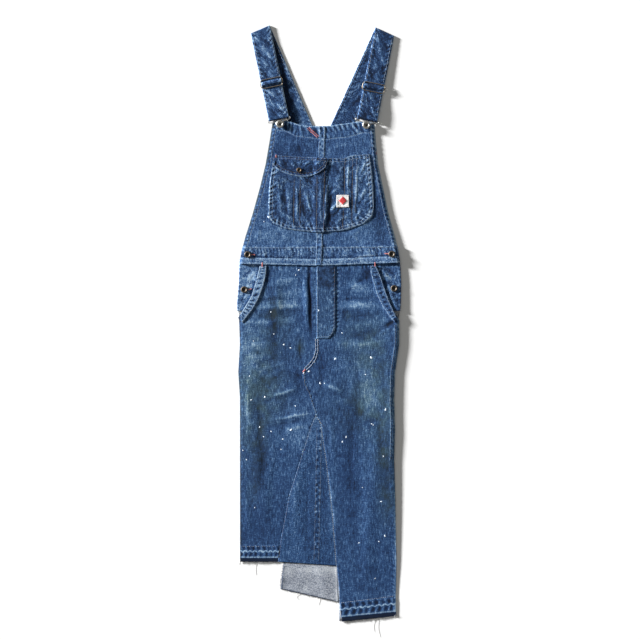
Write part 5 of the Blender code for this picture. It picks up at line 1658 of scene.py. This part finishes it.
stripSeam = sidePath(seams["bib"], 142, 471)
gussetStripSeam = sidePath(seams["gussetCentre"], -570, -251)
bandEdges = [[row[start:start + 2] for row in band] for band in (leftBand, rightBand)
    for start in (0, 2)]
pocketTop = [(21, 397.5), (60.5, 396.5), (80, 403.5), (119.5, 407)]
thinStitch = (3.2, 2.3, 0.45)
stitchPiece("stitchesBib", (
    (gussetStripSeam, 5.4, stripFace, *thinStitch), (gussetStripSeam, -5.4, stripFace, *thinStitch),
    (bibHemLine, 0), (bibLeftSide, 9.6), (bibRightSide, -9.6),
    (stripSeam, 5.4, stripFace), (stripSeam, -5.4, stripFace)), frontFace)
stitchPiece("stitchesPocket", (
    (pocketOutline, 2.2), (pocketOutline, 8.6), (pocketTop, -2.4), (pocketTop, -9)), pocketFace)
stitchPiece("stitchesPleats", [(pleat, 0) for pleat in (
    ((-59, 344), (-60.5, 231)), ((-44.5, 344), (-45.5, 229)), ((-4, 351), (-5.5, 224)),
    ((14, 392), (11.5, 224)), ((63, 399), (61.5, 308)), ((81.5, 401.5), (79.5, 229)),
    ((91.5, 397), (87, 267)), ((59.5, 274.5), (57, 226.5)))],
    pocketFace, threadTan, (3, 2.5, 0.7))
stitchPiece("stitchesFlap", (
    (flapEdge, 2.2), (flapEdge, 7.6), (flapTopLine, -2.2), (flapTopLine, -7.2)),
    flapFace, threadTan)
stitchPiece("stitchesWaist", (
    (sidePath(layout["outline"], -330, -4, 2), -10, frontFace, 3.2, 2.6, 0.65),
    (waistTopLine, -3), (waistFootLine, 2.2), (waistFootLine, 11),
    ([(82, 154.5), (99, 161), (132.5, 163)], 0, waistFace, 2.2, 1.9, 0.8)), waistFace)
stitchPiece("stitchesFly", (([(-3.4, 135), (-3.4, -34)], 0), (flyFoot, 2.2)), flyFace)
stitchPiece("stitchesSeams", (
    ([(37.2, -10), (37.8, 134)], 0, flyFace, 3.2, 2.3, 0.6),
    ([(-35.5, -117), (-33.5, -145.5), (-23.5, -165), (-6, -217.5)], 0),
    (gussetLeftSeam, 1.6, frontFace, 3.2, 2.5, 0.7),
    ([(-2.5, -227), (14.5, -251)], 0, frontFace, 3, 2.4, 0.7)),
    frontFace, threadTan, (3, 2.5, 0.7))
stitchPiece("stitchesEdges", (
    ([(-8, -37.5), (-7.5, -65), (-12.5, -83), (-23.5, -97.5), (-36.5, -109.5)], 0),
    ([(-2.5, -37.5), (-2, -66.5), (-7, -85.5), (-18.5, -101.5), (-32, -113.5)], 0),
    (gussetRightSeam, -1.6, frontFace, 5.2, 3, 0.8),
    ([(-186, -535.5), (-100, -535.5)], 0, frontFace, 4.4, 2.4, 0.8),
    ([(53, -671), (184, -655)], 0, frontFace, 4.4, 2.4, 0.8)),
    frontFace, threadWhite, (3, 2.7, 1.1))
stitchPiece("stitchesBands", zip(bandEdges, (2, -2, -2, 2)), bandFace)
labelEdge = [(44.2, 306.3), (70.8, 306.3), (70.8, 279.7), (44.2, 279.7), (44.2, 306.3)]
stitchPiece("stitchesLabel", ((labelEdge, 0),), labelFace, threadWhite, (2.4, 2, 0.5))

strapStitchRuns = []
for side, fold, button, slideDistance in strapValues["sides"]:
    rows = strapStations(fold, button, slideDistance)
    last = (Vector(button) - Vector(fold)).length - 18
    for sign in (-1, 1):
        for low, high in ((-230, -6), (8, slideDistance - 12), (slideDistance + 12, 200)):
            line = [(c.x + a.x * sign * 0.84, c.y + a.y * sign * 0.84, level + 0.8)
                for run, c, level, a in rows if low < run < min(high, last)]
            if len(line) > 2:
                strapStitchRuns.append((line, 0))
stitchPiece("stitchesStraps", strapStitchRuns)


tackPitch = 0.7


def barTacks(name, *bars):
    # dense stitches across a short line: start, end, width, face
    target = bmesh.new()
    rng = np.random.default_rng(17)
    for start, end, width, face in bars:
        start, end = Vector(start), Vector(end)
        way = (end - start).normalized()
        side = Vector((-way.y, way.x)) * width / 2
        for step in range(int((end - start).length / tackPitch) + 1):
            centre = start + way * step * tackPitch
            stitchMesh(target, onFace((centre - side, centre + side), face, 0.15), width, 0.8,
                rng, 0.3)
    addSmooth(name, target, threadPink)


def facingFace(x, y):
    return layout["facingLevel"] + layout["wall"] + 0.4 + np.maximum(rightRise(x, y), 0)


barTacks(
    "barTacksPink",
    ((-102.5, 404.5), (-102.5, 398), 2.6, flapFace),
    ((-164.5, 165), (-153, 164.5), 3.4, waistFace), ((-172, 81), (-161, 82.5), 3.2, facingFace),
    ((168.5, 167), (157.5, 167), 3.4, waistFace), ((174.5, 83.5), (162.5, 82), 3.2, facingFace),
    ((-32.5, -110.5), (-38.5, -117), 3.4, frontFace), ((138, 412), (138, 405.5), 2, frontFace))
barTacks(
    "buttonholePink",
    ((-27, 467.5), (-3, 446), 2.6, frontFace), ((-23.5, 470), (0, 449), 2.4, frontFace))
barTacks("barTacksRed", ((-135.5, 146), (-135.5, 135.5), 3, waistFace),
    ((135, 146.5), (135, 136.5), 3, waistFace))
print("stitching made")


def frayPiece(name, material, edges, seed):
    # short thin threads standing off raw edges: path, out direction, level, count, reach
    target = bmesh.new()
    rng = np.random.default_rng(seed)
    for path, outX, outY, level, count, reach in edges:
        path = np.array(path, float)
        steps = np.hypot(*(path[1:] - path[:-1]).T)
        run = np.concatenate(([0], np.cumsum(steps)))
        shape = bmesh.new()
        for place in rng.uniform(0, run[-1], count):
            x = np.interp(place, run, path[:, 0])
            y = np.interp(place, run, path[:, 1])
            long = reach * (0.25 + 1 * rng.random() ** 2.2)
            way = Vector((outX + rng.normal(0, 0.55), outY + rng.normal(0, 0.55),
                rng.uniform(-0.12, 0.2))).normalized()
            root = Vector((x, y, level + rng.uniform(-0.4, 0.4))) - way * 1.2
            turn = way.to_track_quat("Z", "Y").to_matrix().to_4x4()
            middle = root + way * (long / 2 + 0.6)
            middle.z = max(middle.z, 0.3 + abs(way.z) * (long / 2 + 0.6))
            turn.translation = middle
            bmesh.ops.create_cone(shape, cap_ends=True, segments=3,
                radius1=rng.uniform(0.28, 0.45), radius2=0.12,
                depth=long + 1.2, matrix=turn)
        mergeShape(target, shape)
    addPiece(name, makeMesh(name, target, material))


rawEdges = (
        ([(-189, -572), (-98, -572)], 0, -1, 1.9, 150, 5),
        ([(-98, -573), (-6, -579), (44, -583)], 0, -1, 2, 110, 3),
        ([(56, -716), (187, -703)], 0.1, -1, 1.4, 190, 5.2),
        ([(50, -585), (55, -715)], -1, -0.1, 1.6, 110, 2.8),
        ([(-84, -580), (-91, -638)], -1, 0, 0.8, 230, 5.2),
        ([(-91, -638), (48, -670)], -0.2, -1, 0.8, 200, 3.4),
)
frayPiece("fraysPale", fraySoft, rawEdges, 5)
frayPiece("fraysDark", threadDark, tuple(
    (path, outX, outY, level, round(count * 0.8), reach * 0.75)
    for path, outX, outY, level, count, reach in rawEdges), 8)

looseThreads = (
        ((-152, -568), (-151, -582.5), (-152, -594.5), (-151, -604)),
        ((132.5, -702.5), (134, -717), (131.5, -729), (133.5, -741)),
        ((140, -707), (142.5, -731), (147, -753)), ((-185.5, -565.5), (-190, -571.5), (-191.5, -580)),
        ((54.5, -664), (49.5, -671), (50.5, -683), (48.5, -693)),
        ((-51, -649.5), (-53, -657), (-49, -664)), ((-2, -659), (1.5, -669), (-0.5, -676)),
        ((-86, -609), (-93, -615), (-95, -623)), ((185.5, -664), (191.5, -669), (192.5, -676)),
)
wirePiece("looseThreads", [
    (smoothRun([(x, y, 0.45 if i else 1.5) for i, (x, y) in enumerate(points)], 5), False)
    for points in looseThreads], 0.17, fraySoft)

specks = (
    (-47.5, 128), (-55.5, 116), (0, 31), (-114.5, 27), (-107.5, -25.5), (-156.5, -42.5), (-83.5, -51),
    (-67.5, -59), (56, -23), (40, -85), (126.5, -82.5), (-10, -93), (-23.5, -115.5),
    (-35.5, -118), (112.5, -123), (3.5, -144), (14, -144), (-166, -126.5), (-129, -177),
    (-162.5, -184), (-56, -198.5), (-141.5, -249), (-114, -259.5), (-132, -272), (-66, -255.5),
    (-86, -278), (-90, -302.5), (-182, -305), (-173.5, -327.5), (160.5, -207.5), (127, -241.5),
    (131, -244), (66, -273), (57, -284), (155.5, -319), (105, -394), (150, -428),
    (159, -510.5), (144.5, -524), (97, -527), (135.5, -612.5), (-153.5, -442.5), (-120.5, 255),
    (-131.5, 244))
bigSpecks = {(-83.5, -51): 1.5, (-47.5, 128): 1.3, (40, -85): 1.5, (126.5, -82.5): 1.6,
    (-23.5, -115.5): 1.5, (-35.5, -118): 1.6, (3.5, -144): 1.4, (160.5, -207.5): 1.4,
    (-129, -177): 1.2, (-66, -255.5): 1.3, (-120.5, 255): 1.7, (0, 31): 1.3,
    (-132, -272): 1.2, (159, -510.5): 1.2}


def speckPiece():
    shape = bmesh.new()
    rng = np.random.default_rng(12)
    for x, y in specks:
        size = 1.25 * bigSpecks.get((x, y), 0.95) * rng.uniform(0.85, 1.15)
        stretch = rng.uniform(1, 1.8)
        face = pocketFace if (x, y) == (-120.5, 255) else frontFace
        level = oneSpot(flyFace if (x, y) == (0, 31) else face, x, y)
        matrix = (Matrix.Translation((x, y, level + 0.05))
            @ Matrix.Rotation(rng.uniform(0, math.pi), 4, "Z")
            @ Matrix.Diagonal((size * stretch, size, 0.3, 1)))
        made = bmesh.ops.create_icosphere(shape, subdivisions=2, radius=1, matrix=matrix)
        for vertex in made["verts"]:
            away = vertex.co - Vector((x, y, level))
            angle = math.atan2(away.y, away.x)
            grow = 1 + 0.22 * math.sin(3 * angle + x) + 0.14 * math.sin(5 * angle + y)
            vertex.co.x = x + away.x * grow
            vertex.co.y = y + away.y * grow
    toMetres(shape)
    addSmooth("paintSpecks", shape, paintWhite)


speckPiece()


def lozengePiece():
    # a plain red lozenge of satin stitches on the label, a motif of no maker
    target = bmesh.new()
    rng = np.random.default_rng(9)
    centreX, centreY, halfWidth, halfHeight, rowPitch = 57.5, 294.5, 11, 10, 0.62
    for row in np.arange(-halfHeight, halfHeight, rowPitch):
        half = halfWidth * (1 - abs(row) / halfHeight)
        if half > 0.6:
            path = [(centreX - half, centreY + row), (centreX + half, centreY + row)]
            stitchMesh(target, onFace(path, labelFace, 0.05), 2 * half, 0.85, rng, 0.02)
    addSmooth("labelMotif", target, threadRed)


lozengePiece()
print("frays, threads and paint made")


stageValues = {"floorSize": 8, "floorColor": (0.93, 0.93, 0.93), "sunStrength": 15,
    "sunElevation": 11, "sunAzimuth": 160, "sunAngle": 6, "topPower": 4,
    "topHeight": 2.6, "worldStrength": 0.18, "lens": 85, "frameWidth": 1.536,
    "aim": (0.003, 0.008)}


def addLight(name, kind, way, **settings):
    # a light that shines from that way down to the origin
    data = bpy.data.lights.new(name, kind)
    for label, value in settings.items():
        setattr(data, label, value)
    light = addObject(name, data)
    light.rotation_mode = "QUATERNION"
    light.rotation_quaternion = way.to_track_quat("Z", "Y")
    return light


def makeStage(values):
    shape = bmesh.new()
    bmesh.ops.create_grid(shape, x_segments=1, y_segments=1, size=values["floorSize"] / 2)
    white = values["floorColor"]
    paper = grainMaterial("floorPaper", white, tuple(0.985 * c for c in white), 40, 0.85,
        bump=0.02, spread=0.1)
    floor = addObject("floor", makeMesh("floor", shape, paper))
    floor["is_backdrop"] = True

    height, turn = math.radians(values["sunElevation"]), math.radians(values["sunAzimuth"])
    fromWay = Vector((math.cos(turn) * math.cos(height), math.sin(turn) * math.cos(height),
        math.sin(height)))
    addLight("lowKey", "SUN", fromWay, energy=values["sunStrength"],
        angle=math.radians(values["sunAngle"]))
    above = Vector((-0.7, 0.5, values["topHeight"]))
    addLight("softBox", "AREA", above, energy=values["topPower"], size=2.4).location = above

    world = bpy.data.worlds.new("paleRoom")
    bpy.context.scene.world = world
    world.use_nodes = True
    background = world.node_tree.nodes["Background"]
    background.inputs["Color"].default_value = (1, 1, 0.96, 1)
    background.inputs["Strength"].default_value = values["worldStrength"]
    bpy.context.scene.view_settings.view_transform = "Standard"

    camera = bpy.data.cameras.new("camera")
    camera.lens = values["lens"]
    camera.sensor_width = 36
    holder = addObject("camera", camera)
    distance = values["frameWidth"] / 2 / (18 / values["lens"])
    holder.location = (*values["aim"], distance + 0.005)
    camera.clip_start, camera.clip_end = 0.1, 20
    bpy.context.scene.camera = holder


makeStage(stageValues)
low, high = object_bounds()
print("stage made; the visual model is", [round(high[k] - low[k], 4) for k in range(3)])
